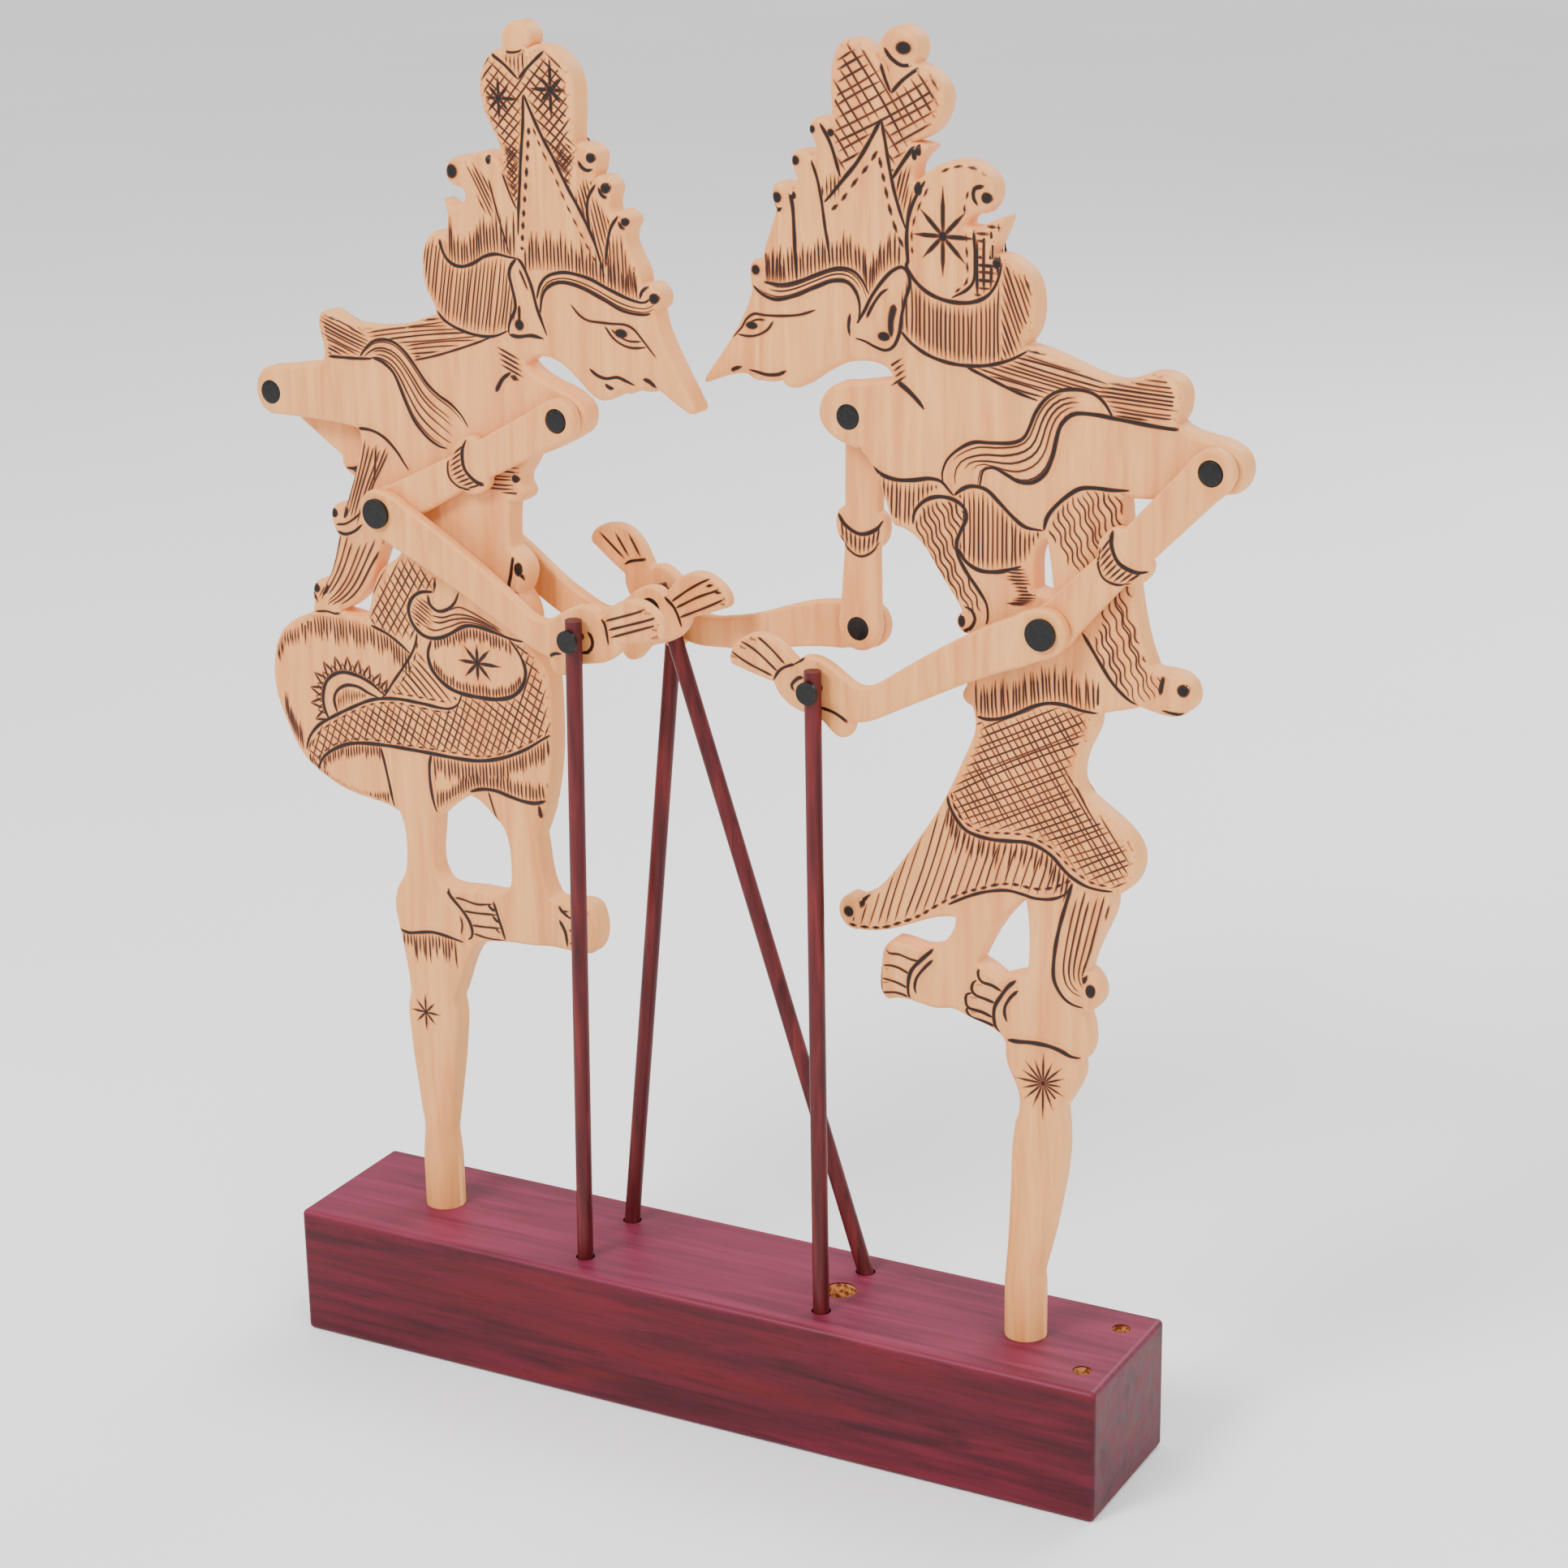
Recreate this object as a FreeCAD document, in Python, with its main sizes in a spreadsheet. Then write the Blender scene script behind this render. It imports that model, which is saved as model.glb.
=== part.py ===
import FreeCAD, Part
import Sketcher
import math
import os

# A pair of flat carved puppets with jointed arms, standing on one block with four arm rods.
# World frame: origin at the centre of the block's underside, +X along the block, -Y to the
# front, +Z up.  Each figure has its own upright plane: x runs along the board from the stick's
# axis, z is the height above the block's underside, y is the depth (minus is the front).

SIZES = [
    ("stand_length", 262.0), ("stand_width", 50.0), ("stand_height", 40.0), ("stand_ease", 1.6),
    ("board_thickness", 8.0), ("arm_thickness", 4.0),
    ("stick_diameter", 12.0), ("socket_diameter", 12.2), ("socket_depth", 30.0),
    ("rod_diameter", 4.7), ("rod_hole_diameter", 5.6), ("rod_hole_depth", 7.0),
    ("spare_socket_diameter", 9.8), ("spare_socket_depth", 6.0),
    ("spare_hole_diameter", 5.2), ("spare_hole_depth", 8.0),
    ("pin_diameter", 3.0), ("hand_pin_diameter", 2.4),
    ("head_diameter", 6.4), ("elbow_head_diameter", 8.6), ("head_height", 1.0),
]
SIZE = dict(SIZES)

LAYER_GAP = 0.3          # air between two layers that turn on each other
ROD_GAP = 0.9            # air between a hand and its rod, which leans a little
RUNNING = 0.08           # radial clearance of a pin in the part that turns on it
SEAT = 0.15              # radial clearance of a pressed cap in its counterbore
FLOOR_GAP = 0.3          # air under a stick or a rod that rests in its hole
ROD_TOP = 5.5            # rod above its hand pin
BEVEL = 1.0              # height of the bevel at the foot of a stick or a rod
ROD_TIP = 0.6            # how much a rod's bevel takes off its radius
SEAT_SPARE = 0.05        # counterbore left below a cap's face
PIN_IN_CAP = 0.6         # share of a cap's height that the pin reaches into
FUNNEL = 3.0             # how far a drilling tool starts above the block
STRAIGHT = 16.0          # round stick above the block before it tapers
TAPER_TOP = 62.0         # height above the block where the taper ends inside the board
TAPER_END = 0.6          # the taper's last radius, as a share of half the board

HALF_BOARD = SIZE["board_thickness"] / 2
UPPER_INNER = HALF_BOARD + LAYER_GAP
UPPER_OUTER = UPPER_INNER + SIZE["arm_thickness"]
FORE_INNER = UPPER_OUTER + LAYER_GAP
FORE_OUTER = FORE_INNER + SIZE["arm_thickness"]
ROD_CENTRE = FORE_OUTER + ROD_GAP + SIZE["rod_diameter"] / 2
ROD_OUTER = ROD_CENTRE + SIZE["rod_diameter"] / 2

# Stick position along the block, turn of the board about its stick (degrees), fingers to +x or
# -x, bracelet position along the upper arm and how far its two bulges are offset.
FIGURES = {
    "left": {"stick_x": -94.6, "turn": -4.0, "facing": 1, "bracelet": 0.50, "lean": 1.0},
    "right": {"stick_x": 99.4, "turn": -3.0, "facing": -1, "bracelet": 0.53, "lean": 0.0},
}

ROW = 13.8               # depth of each row of rod holes from the block's centre line
ARMS = {
    "left_front": {"figure": "left", "side": -1, "shoulder": (58.0, 290.7), "elbow": (-2.4, 258.7),
                   "hand": (67.0, 232.1), "foot": (-36.6, -ROW), "palm": (-1.0, 0.3, 0.0)},
    "left_back": {"figure": "left", "side": 1, "shoulder": (-46.3, 287.6), "elbow": (6.0, 252.0),
                  "hand": (75.8, 235.8), "foot": (42.0, ROW), "palm": (-1.2, -2.2, 0.0)},
    "right_front": {"figure": "right", "side": -1, "shoulder": (53.9, 294.5), "elbow": (9.5, 248.2),
                    "hand": (-57.4, 224.3), "foot": (41.8, -ROW), "palm": (0.0, 0.0, 0.0)},
    "right_back": {"figure": "right", "side": 1, "shoulder": (-52.6, 297.3), "elbow": (-54.9, 236.8),
                   "hand": (-121.2, 232.3), "foot": (-36.8, ROW), "palm": (-1.2, 3.8, 7.0)},
}
SPARE_SOCKET_X = 40.8
SPARE_HOLE_X = 122.5

# Outlines: named stretches, clockwise.  Each starts where the one before ended.
LEFT_OUTLINE = [
    ("crown ball", [(41.6, 389.2), (41.4, 394.0), (46.0, 397.2), (50.4, 394.0), (49.4, 390.0)]),
    ("crown, right", [(53.0, 391.2), (57.5, 390.0), (61.6, 387.0), (64.0, 382.5), (64.6, 378.0),
                      (64.2, 371.0), (63.9, 365.4)]),
    ("right curl 1", [(68.0, 365.6), (70.8, 363.6), (71.0, 361.0), (69.8, 357.0)]),
    ("right curl 2", [(74.2, 356.9), (75.8, 354.5), (75.0, 351.0), (75.9, 347.9)]),
    ("right curl 3", [(80.4, 348.0), (81.4, 345.8), (80.2, 343.0), (82.9, 335.0), (84.4, 329.4)]),
    ("brow knob", [(88.2, 329.6), (90.4, 326.4), (88.4, 322.6)]),
    ("forehead and nose", [(89.6, 318.0), (93.0, 311.0), (97.6, 303.0), (100.2, 298.6)]),
    ("nose tip", [(100.6, 296.4), (98.8, 295.8)]),
    ("nose underside", [(96.1, 297.0), (91.7, 299.6), (89.0, 301.3)]),
    ("upper lip", [(86.5, 300.6), (82.4, 301.0)]),
    ("lower lip", [(79.4, 299.4), (76.4, 300.0)]),
    ("chin", [(73.6, 297.6), (70.2, 296.6), (66.6, 298.0), (63.9, 300.4)]),
    ("throat", [(61.0, 302.8), (57.2, 305.4), (53.0, 306.9), (48.6, 306.6), (45.0, 304.4)]),
    ("shoulder top", [(49.0, 301.6), (54.5, 299.4), (60.6, 297.2), (64.4, 293.6), (64.6, 289.6),
                      (62.6, 286.4)]),
    ("armpit", [(54.0, 281.6), (45.6, 278.0)]),
    ("breast scarf", [(43.4, 274.4), (41.8, 270.8), (43.2, 267.4), (41.4, 265.2), (38.0, 264.6)]),
    ("waist, right", [(37.2, 258.0), (37.4, 251.6)]),
    ("hip curl", [(40.2, 249.4), (42.4, 246.0), (42.2, 242.4), (40.4, 238.6)]),
    ("apron edge", [(42.6, 235.2), (43.6, 230.6), (41.8, 224.4)]),
    ("sarong, right", [(45.4, 220.2), (48.4, 216.0), (49.4, 209.0), (49.4, 198.0), (47.6, 182.0),
                       (42.4, 166.0)]),
    ("right ankle", [(43.2, 160.0), (44.0, 154.6), (46.8, 148.4)]),
    ("right foot", [(54.0, 148.6), (60.4, 148.2), (62.4, 144.0), (62.2, 137.0), (60.0, 133.6)]),
    ("right sole", [(53.4, 133.0), (46.6, 133.1), (39.8, 132.2), (29.0, 131.4), (19.8, 129.0)]),
    ("stick shoulder, right", [(14.2, 121.0), (12.2, 115.6), (9.4, 109.0)]),
    ("stick, right", [(10.1, 103.6), (9.6, 96.9), (8.0, 84.0), (5.8, 67.0), (4.4, 55.0), (4.2, 48.0)]),
    ("stick foot", [(-4.2, 48.0)]),
    ("stick, left", [(-4.4, 56.0), (-5.6, 68.0), (-6.9, 84.0), (-7.9, 97.0), (-8.2, 103.0), (-7.0, 109.0)]),
    ("stick shoulder, left", [(-8.0, 118.0), (-9.9, 128.0), (-11.1, 134.0)]),
    ("left heel", [(-10.8, 139.0), (-9.2, 142.9)]),
    ("left calf", [(-6.8, 147.0), (-5.8, 153.0), (-6.0, 160.0), (-7.6, 165.4)]),
    ("sarong hem, left", [(-12.5, 167.0), (-19.7, 167.8), (-29.3, 169.7), (-37.0, 173.2),
                          (-43.4, 178.0), (-48.3, 186.3), (-51.5, 194.0), (-52.6, 201.6),
                          (-51.6, 208.8), (-48.8, 215.0), (-44.0, 219.2), (-37.0, 222.2)]),
    ("tail curl 2", [(-35.6, 225.6), (-35.6, 229.6), (-33.6, 232.8), (-30.4, 232.6)]),
    ("tail between curls", [(-27.8, 237.4), (-26.0, 242.6), (-24.8, 247.6)]),
    ("tail curl 1", [(-26.8, 251.6), (-26.4, 255.4), (-23.0, 257.4), (-21.0, 257.6)]),
    ("back edge", [(-18.4, 264.1), (-15.9, 270.9), (-14.5, 276.4), (-15.4, 280.0)]),
    ("back shoulder, under", [(-22.8, 280.8), (-36.0, 281.0), (-45.6, 280.9)]),
    ("back shoulder end", [(-50.6, 283.0), (-52.3, 288.0), (-50.6, 292.8), (-45.6, 295.0)]),
    ("back shoulder, top", [(-37.0, 296.4), (-27.4, 298.0)]),
    ("hair", [(-26.4, 303.4), (-27.6, 308.6), (-26.6, 312.4), (-23.8, 313.0), (-20.0, 310.9),
              (-13.0, 309.8), (-4.0, 310.2), (4.0, 311.8), (10.4, 314.2)]),
    ("bun", [(14.6, 316.4), (11.8, 322.0), (10.6, 328.6), (11.4, 334.0), (15.0, 338.6)]),
    ("left curl 3", [(19.2, 339.2), (20.2, 343.0), (18.8, 347.8)]),
    ("left notch 3", [(23.6, 346.2), (26.4, 348.2)]),
    ("left curl 2", [(25.4, 351.2), (21.9, 352.2), (20.4, 355.4), (21.8, 358.6), (25.0, 360.0),
                     (28.8, 358.8)]),
    ("left curl 1", [(31.2, 361.4), (35.4, 361.4), (39.6, 358.4)]),
    ("crown, left", [(39.0, 363.4), (36.4, 368.6), (33.8, 374.0), (33.1, 379.4), (34.6, 385.0),
                     (38.0, 388.8), (41.6, 389.2)]),
]
LEFT_LEG_GAP = [
    ("heel", [(5.6, 165.6), (10.6, 170.0), (18.6, 174.8)]),
    ("hem tip", [(22.8, 173.4), (26.6, 170.4), (30.0, 167.4), (31.6, 163.8), (32.4, 158.6),
                 (32.4, 152.6)]),
    ("ankle", [(31.0, 148.4), (26.4, 146.2), (20.0, 146.0), (11.6, 145.2), (7.2, 145.8)]),
    ("shin", [(5.0, 149.0), (4.4, 156.0), (5.6, 165.6)]),
]
LEFT_TAIL_GAP = [
    ("hip side", [(-20.0, 223.9), (-15.8, 225.2), (-14.2, 229.0), (-12.8, 233.6), (-9.2, 239.6),
                  (-3.2, 243.8), (-1.6, 246.4)]),
    ("tail side", [(-4.8, 249.4), (-8.2, 246.6), (-11.7, 239.4), (-15.8, 232.2), (-19.6, 228.2),
                   (-25.6, 224.6)]),
    ("tail root", [(-20.0, 223.9)]),
]
RIGHT_OUTLINE = [
    ("crown ring", [(-42.4, 390.4), (-42.2, 396.4), (-37.6, 399.4), (-32.6, 397.6), (-31.2, 393.6),
                    (-32.4, 390.4)]),
    ("crown, right", [(-29.0, 389.0), (-25.6, 386.4), (-23.8, 382.8), (-24.4, 378.2), (-26.8, 374.0),
                      (-30.2, 371.6), (-33.6, 370.4)]),
    ("right curl", [(-30.6, 370.3), (-28.2, 369.6), (-30.4, 366.9), (-32.6, 363.0), (-32.2, 360.6)]),
    ("fan disc", [(-28.6, 363.4), (-23.4, 366.0), (-17.0, 366.5), (-12.0, 364.2), (-9.6, 360.4),
                  (-10.0, 356.6), (-12.4, 353.6)]),
    ("fan notch", [(-16.2, 352.6), (-17.6, 350.6)]),
    ("fan tip", [(-12.4, 350.8), (-6.6, 353.0), (-8.0, 348.4), (-10.6, 343.2)]),
    ("bun", [(-6.6, 343.3), (-2.6, 341.6), (0.8, 338.4), (2.5, 332.8), (2.2, 326.4), (-0.8, 321.0)]),
    ("neck, back", [(5.4, 319.6), (13.5, 317.0)]),
    ("hair", [(18.4, 315.4), (23.6, 314.2), (28.6, 314.6), (34.0, 316.8), (39.0, 317.2), (43.0, 315.0),
              (44.3, 311.0), (42.4, 305.0)]),
    ("front shoulder, top", [(50.4, 302.2), (56.6, 300.8), (60.6, 297.6), (61.2, 293.0), (58.6, 288.6)]),
    ("front shoulder, under", [(53.0, 287.4), (41.0, 285.2), (27.8, 284.4)]),
    ("scarf, back", [(29.2, 272.0), (31.0, 260.6), (33.2, 249.4), (36.6, 240.0)]),
    ("scarf curl", [(40.4, 239.8), (44.6, 239.2), (47.8, 236.2), (48.2, 232.2), (45.6, 229.0),
                    (39.4, 228.2), (33.4, 229.4)]),
    ("scarf underside", [(29.6, 228.0), (25.0, 226.8), (20.4, 224.6)]),
    ("sash, right", [(20.2, 221.2), (17.8, 216.0), (15.8, 209.8), (15.8, 206.2), (18.8, 201.8)]),
    ("hip fall", [(25.0, 197.8), (30.6, 193.4), (33.4, 188.6), (33.4, 184.0), (31.4, 179.6),
                  (26.0, 176.2)]),
    ("skirt, right", [(25.6, 171.0), (23.2, 164.8), (20.6, 159.0), (19.0, 153.4)]),
    ("right heel", [(22.0, 150.6), (23.0, 146.8), (21.8, 143.4), (18.4, 141.2)]),
    ("hanging curl", [(19.6, 137.0), (20.0, 132.0), (18.8, 128.0), (17.0, 126.0)]),
    ("ankle wing, right", [(17.0, 122.0), (15.2, 117.0), (11.8, 111.2)]),
    ("stick, right", [(12.4, 106.0), (12.5, 98.0), (11.0, 86.0), (8.2, 70.0), (5.0, 56.0), (4.2, 48.0)]),
    ("stick foot", [(-4.2, 48.0)]),
    ("stick, left", [(-3.9, 66.0), (-3.5, 84.0), (-3.2, 98.0), (-2.2, 105.4)]),
    ("ankle wing, left", [(-1.0, 110.6), (-1.6, 115.0), (-4.0, 120.0), (-5.4, 125.9)]),
    ("left sole", [(-6.4, 129.6), (-10.6, 131.8), (-17.0, 133.4), (-21.5, 134.6), (-26.4, 133.8),
                   (-34.8, 134.6), (-42.0, 133.4)]),
    ("left toes", [(-44.0, 135.6), (-44.2, 142.3), (-43.2, 148.6), (-40.4, 151.6)]),
    ("left instep", [(-36.6, 151.4), (-31.7, 150.8), (-26.6, 152.2), (-22.4, 156.4), (-20.8, 161.6)]),
    ("train, under", [(-27.0, 160.4), (-34.0, 157.4), (-42.9, 153.9), (-50.9, 152.6)]),
    ("train tip", [(-55.6, 153.6), (-57.6, 157.4), (-56.0, 161.4), (-52.2, 161.6)]),
    ("train, top", [(-45.3, 165.8), (-36.0, 177.4), (-28.2, 188.5), (-22.9, 197.8), (-18.2, 208.0),
                    (-14.8, 218.0), (-15.8, 222.4)]),
    ("sash knot", [(-18.6, 224.6), (-17.6, 228.0)]),
    ("blouse, lower", [(-16.4, 235.0), (-16.6, 242.4)]),
    ("blouse curl", [(-19.4, 243.2), (-20.5, 246.0), (-18.8, 248.0)]),
    ("blouse, upper", [(-20.8, 251.6), (-25.2, 257.4), (-30.0, 264.4), (-34.0, 267.6), (-39.6, 269.2)]),
    ("back armpit", [(-42.0, 276.0), (-45.0, 283.4), (-49.6, 288.6)]),
    ("back shoulder", [(-54.6, 289.8), (-58.6, 291.8), (-61.6, 295.4), (-61.6, 300.0), (-58.6, 304.4),
                       (-53.0, 306.2)]),
    ("neck, front", [(-46.2, 307.4), (-39.4, 308.8)]),
    ("throat", [(-40.8, 311.0), (-46.0, 312.5), (-52.4, 311.8), (-59.0, 309.0), (-65.3, 305.0)]),
    ("chin", [(-68.6, 303.3), (-71.4, 303.4), (-73.2, 305.0)]),
    ("lower lip", [(-76.0, 304.2), (-79.0, 304.3)]),
    ("upper lip", [(-81.0, 304.2), (-83.8, 305.6)]),
    ("nose underside", [(-87.4, 305.4), (-91.0, 304.4), (-95.0, 302.9)]),
    ("nose tip", [(-97.6, 302.4), (-97.0, 304.4)]),
    ("nose and forehead", [(-95.0, 307.0), (-90.2, 313.4), (-86.0, 320.0), (-82.2, 328.4)]),
    ("brow knob", [(-82.6, 331.8), (-82.2, 335.6), (-78.8, 337.2)]),
    ("left curl 3", [(-77.4, 342.0), (-75.6, 346.6), (-74.2, 350.8)]),
    ("left curl 3 top", [(-75.4, 354.4), (-74.6, 357.2), (-71.8, 357.6), (-69.0, 355.8)]),
    ("left curl 2", [(-68.2, 360.0), (-69.3, 363.0), (-68.4, 366.0), (-65.8, 366.6), (-63.2, 365.0)]),
    ("left curl 1", [(-62.2, 368.4), (-63.8, 371.6), (-62.4, 374.8), (-59.6, 375.2), (-57.0, 374.2)]),
    ("crown, left", [(-57.2, 379.6), (-57.3, 385.0), (-56.4, 391.0), (-53.6, 395.0), (-50.0, 395.6),
                     (-46.0, 393.8), (-42.4, 390.4)]),
]
RIGHT_LEG_GAP = [
    ("shin, right", [(0.6, 170.6), (1.3, 166.0), (1.7, 158.0), (1.2, 149.8)]),
    ("floor", [(-3.0, 148.4), (-7.4, 146.6)]),
    ("instep", [(-10.6, 148.6), (-13.8, 150.0)]),
    ("shin, left", [(-10.6, 156.6), (-5.4, 164.6), (0.6, 170.6)]),
]
RIGHT_WAIST_GAP = [
    ("top", [(6.0, 270.6), (3.6, 268.0), (2.6, 263.0), (2.8, 257.0)]),
    ("bottom", [(5.4, 256.4), (8.0, 256.8)]),
    ("side", [(7.4, 262.6), (6.0, 270.6)]),
]

# The hand beyond the wrist, from the hand pin: x runs towards the fingers, z to the back of the hand.
HAND = [
    ("wrist", [(-27.0, -0.4), (-20.0, -2.2), (-14.5, -3.0), (-11.0, -1.8)]),
    ("back of the palm", [(-8.0, 1.6), (-4.6, 5.8), (-1.0, 8.4), (2.6, 9.0), (4.6, 8.0)]),
    ("first finger", [(6.6, 11.6), (9.6, 15.6), (13.6, 18.0), (18.0, 18.4)]),
    ("fingertips", [(21.6, 17.4), (24.4, 15.4), (25.6, 12.6), (24.0, 10.8)]),
    ("last finger", [(19.4, 7.6), (14.0, 4.2)]),
    ("heel of the palm", [(13.4, 0.6), (10.6, -3.6), (6.4, -6.6), (3.2, -8.6)]),
    ("thumb", [(1.4, -11.4), (-0.6, -14.2), (-3.0, -15.0), (-5.4, -13.8), (-6.6, -11.6)]),
    ("wrist, under", [(-11.0, -12.2), (-18.0, -11.6), (-27.0, -10.4)]),
]
# The forearm's end round the elbow pin: x runs from the elbow towards the hand.
ELBOW = [(8.4, -7.4), (2.4, -6.9), (-3.4, -5.8), (-6.6, -1.0), (-5.0, 4.6), (0.0, 6.7), (7.0, 6.2)]
# The upper arm's end round the shoulder pin: x runs from the shoulder towards the elbow.
SHOULDER = [(4.6, 5.9), (0.6, 6.2), (-4.2, 4.6), (-6.2, 0.0), (-4.2, -4.6), (0.6, -6.2), (4.6, -5.9)]
# The upper arm's round end at the elbow pin.
ARM_TIP = [(-4.0, -6.0), (0.6, -6.3), (4.6, -4.4), (6.4, 0.0), (4.6, 4.4), (0.6, 6.3), (-4.0, 6.0)]
# Half of a bracelet's bulge: distance from its middle along the arm, and half width there.
BRACELET = [(-5.2, 5.4), (-3.1, 7.6), (0.0, 8.0), (3.1, 7.2), (5.2, 5.1)]
SLIM = 0.40              # where a forearm is slimmest, as a share of its length
SLIM_UNDER = -8.4        # its lower edge there
SLIM_OVER = 3.2          # its upper edge there

doc = FreeCAD.newDocument("wayang_pair")
os.makedirs("parts", exist_ok=True)

sheet = doc.addObject("Spreadsheet::Sheet", "Sizes")
for row, (alias, value) in enumerate(SIZES, start=1):
    sheet.set("A%d" % row, alias)
    sheet.set("B%d" % row, str(value))
    sheet.setAlias("B%d" % row, alias)
doc.recompute()


def vec(x, y, z=0.0):
    return FreeCAD.Vector(x, y, z)


def figure_placement(figure):
    data = FIGURES[figure]
    turn = FreeCAD.Rotation(vec(0, 0, 1), data["turn"])
    return FreeCAD.Placement(vec(data["stick_x"], 0, 0), turn)


def in_world(figure, x, y, z):
    return figure_placement(figure).multVec(vec(x, y, z))


def origin_plane(body, role):
    for item in body.Origin.OriginFeatures:
        if item.Role == role:
            return item
    raise RuntimeError("no plane " + role)


def upright_sketch(body, name):
    """A sketch on the body's own x-z plane: sketch x is board x, sketch y is height."""
    sketch = body.newObject("Sketcher::SketchObject", name)
    sketch.AttachmentSupport = [(origin_plane(body, "XZ_Plane"), "")]
    sketch.MapMode = "FlatFace"
    return sketch


def draw_stretches(sketch, stretches):
    """Draw a closed wire: a stretch of one new point is a line, a longer one a smooth curve."""
    start = stretches[-1][1][-1]
    for _, points in stretches:
        path = points if start == points[0] else [start] + points
        ends = [vec(x, z) for x, z in path]
        if len(ends) == 2:
            sketch.addGeometry(Part.LineSegment(ends[0], ends[1]))
        else:
            curve = Part.BSplineCurve()
            curve.interpolate(ends)
            sketch.addGeometry(curve)
        start = points[-1]


def draw_circle(sketch, x, z, radius, alias, extra):
    """A circle whose radius is half a named size plus a clearance."""
    index = sketch.addGeometry(Part.Circle(vec(x, z), vec(0, 0, 1), radius))
    rule = sketch.addConstraint(Sketcher.Constraint("Radius", index, radius))
    sketch.setExpression("Constraints[%d]" % rule, "Sizes.%s / 2 + %g" % (alias, extra))
    return index


def pad_arm(body, sketch, name, far):
    """Pad a sketch by one arm thickness, up to depth far; the sketch plane's normal is -y."""
    sketch.AttachmentOffset = FreeCAD.Placement(vec(0, 0, -far), FreeCAD.Rotation())
    pad = body.newObject("PartDesign::Pad", name)
    pad.Profile = sketch
    pad.setExpression("Length", "Sizes.arm_thickness")
    sketch.Visibility = False
    doc.recompute()


def drill(body, name, x, z, alias, extra, near, far):
    """A round hole between two depths, cut along y."""
    sketch = upright_sketch(body, name + "_circle")
    draw_circle(sketch, x, z, SIZE[alias] / 2 + extra, alias, extra)
    sketch.AttachmentOffset = FreeCAD.Placement(vec(0, 0, -near), FreeCAD.Rotation())
    pocket = body.newObject("PartDesign::Pocket", name)
    pocket.Profile = sketch
    pocket.Length = far - near
    doc.recompute()
    before = pocket.BaseFeature.Shape.Volume
    if before - pocket.Shape.Volume < 1.0:
        pocket.Reversed = True
        doc.recompute()
    if before - pocket.Shape.Volume < 1.0:
        raise RuntimeError(name + " cuts nothing")
    sketch.Visibility = False


def finish(item, node, figure=None):
    """Label a sub-part with its node name, stand it on its figure's plane and write its STEP."""
    item.Label = node
    if figure:
        item.Placement = figure_placement(figure).multiply(item.Placement)
    doc.recompute()
    if "Invalid" in item.State or not item.Shape.isValid() or item.Shape.Volume <= 0:
        raise RuntimeError(node + " is not a valid solid")
    if len(item.Shape.Solids) != 1:
        raise RuntimeError(node + " has %d solids" % len(item.Shape.Solids))
    item.Shape.exportStep("parts/%s.step" % node)
    print(node, "%.0f mm3" % item.Shape.Volume)


def cylinder(name, alias, extra, height, base, axis):
    """A Part cylinder whose radius follows a named size."""
    item = doc.addObject("Part::Cylinder", name)
    item.setExpression("Radius", "Sizes.%s / 2 + %g" % (alias, extra))
    item.Height = height
    item.Placement = FreeCAD.Placement(base, FreeCAD.Rotation(vec(0, 0, 1), axis))
    return item


def cone(name, radius_from, radius_to, height, base, axis):
    item = doc.addObject("Part::Cone", name)
    item.Radius1 = radius_from
    item.Radius2 = radius_to
    item.Height = height
    item.Placement = FreeCAD.Placement(base, FreeCAD.Rotation(vec(0, 0, 1), axis))
    return item


def fuse(name, items):
    item = doc.addObject("Part::MultiFuse", name)
    item.Shapes = items
    return item


def cut(name, base, tool):
    item = doc.addObject("Part::Cut", name)
    item.Base = base
    item.Tool = tool
    return item


def rod_line(arm):
    """Where a rod meets the block's top, the unit vector up the rod, and the distance to its pin."""
    data = ARMS[arm]
    x, z = data["hand"]
    pin = in_world(data["figure"], x, data["side"] * ROD_CENTRE, z)
    foot = vec(data["foot"][0], data["foot"][1], SIZE["stand_height"])
    up = pin.sub(foot)
    length = up.Length
    return foot, up.normalize(), length


def make_stand():
    block = doc.addObject("Part::Box", "block")
    block.setExpression("Length", "Sizes.stand_length")
    block.setExpression("Width", "Sizes.stand_width")
    block.setExpression("Height", "Sizes.stand_height")
    block.Placement.Base = vec(-SIZE["stand_length"] / 2, -SIZE["stand_width"] / 2, 0)
    doc.recompute()
    eased = doc.addObject("Part::Fillet", "eased_block")
    eased.Base = block
    ease = SIZE["stand_ease"]
    eased.Edges = [(edge, ease, ease) for edge in range(1, 13)]
    top = SIZE["stand_height"]
    holes = []
    for figure, data in FIGURES.items():
        holes.append(cylinder(figure + "_socket", "socket_diameter", 0, SIZE["socket_depth"],
                              vec(data["stick_x"], 0, top - SIZE["socket_depth"]), vec(0, 0, 1)))
    for arm in ARMS:
        foot, up, _ = rod_line(arm)
        depth = SIZE["rod_hole_depth"]
        bottom = foot.sub(up * depth)
        holes.append(cylinder(arm + "_rod_hole", "rod_hole_diameter", 0, depth + FUNNEL, bottom, up))
    holes.append(cylinder("spare_socket", "spare_socket_diameter", 0, SIZE["spare_socket_depth"],
                          vec(SPARE_SOCKET_X, 0, top - SIZE["spare_socket_depth"]), vec(0, 0, 1)))
    for name, side in (("front", -1), ("back", 1)):
        holes.append(cylinder("spare_hole_" + name, "spare_hole_diameter", 0, SIZE["spare_hole_depth"],
                              vec(SPARE_HOLE_X, side * ROW, top - SIZE["spare_hole_depth"]),
                              vec(0, 0, 1)))
    finish(cut("stand_solid", eased, fuse("stand_holes", holes)), "stand")


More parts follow.
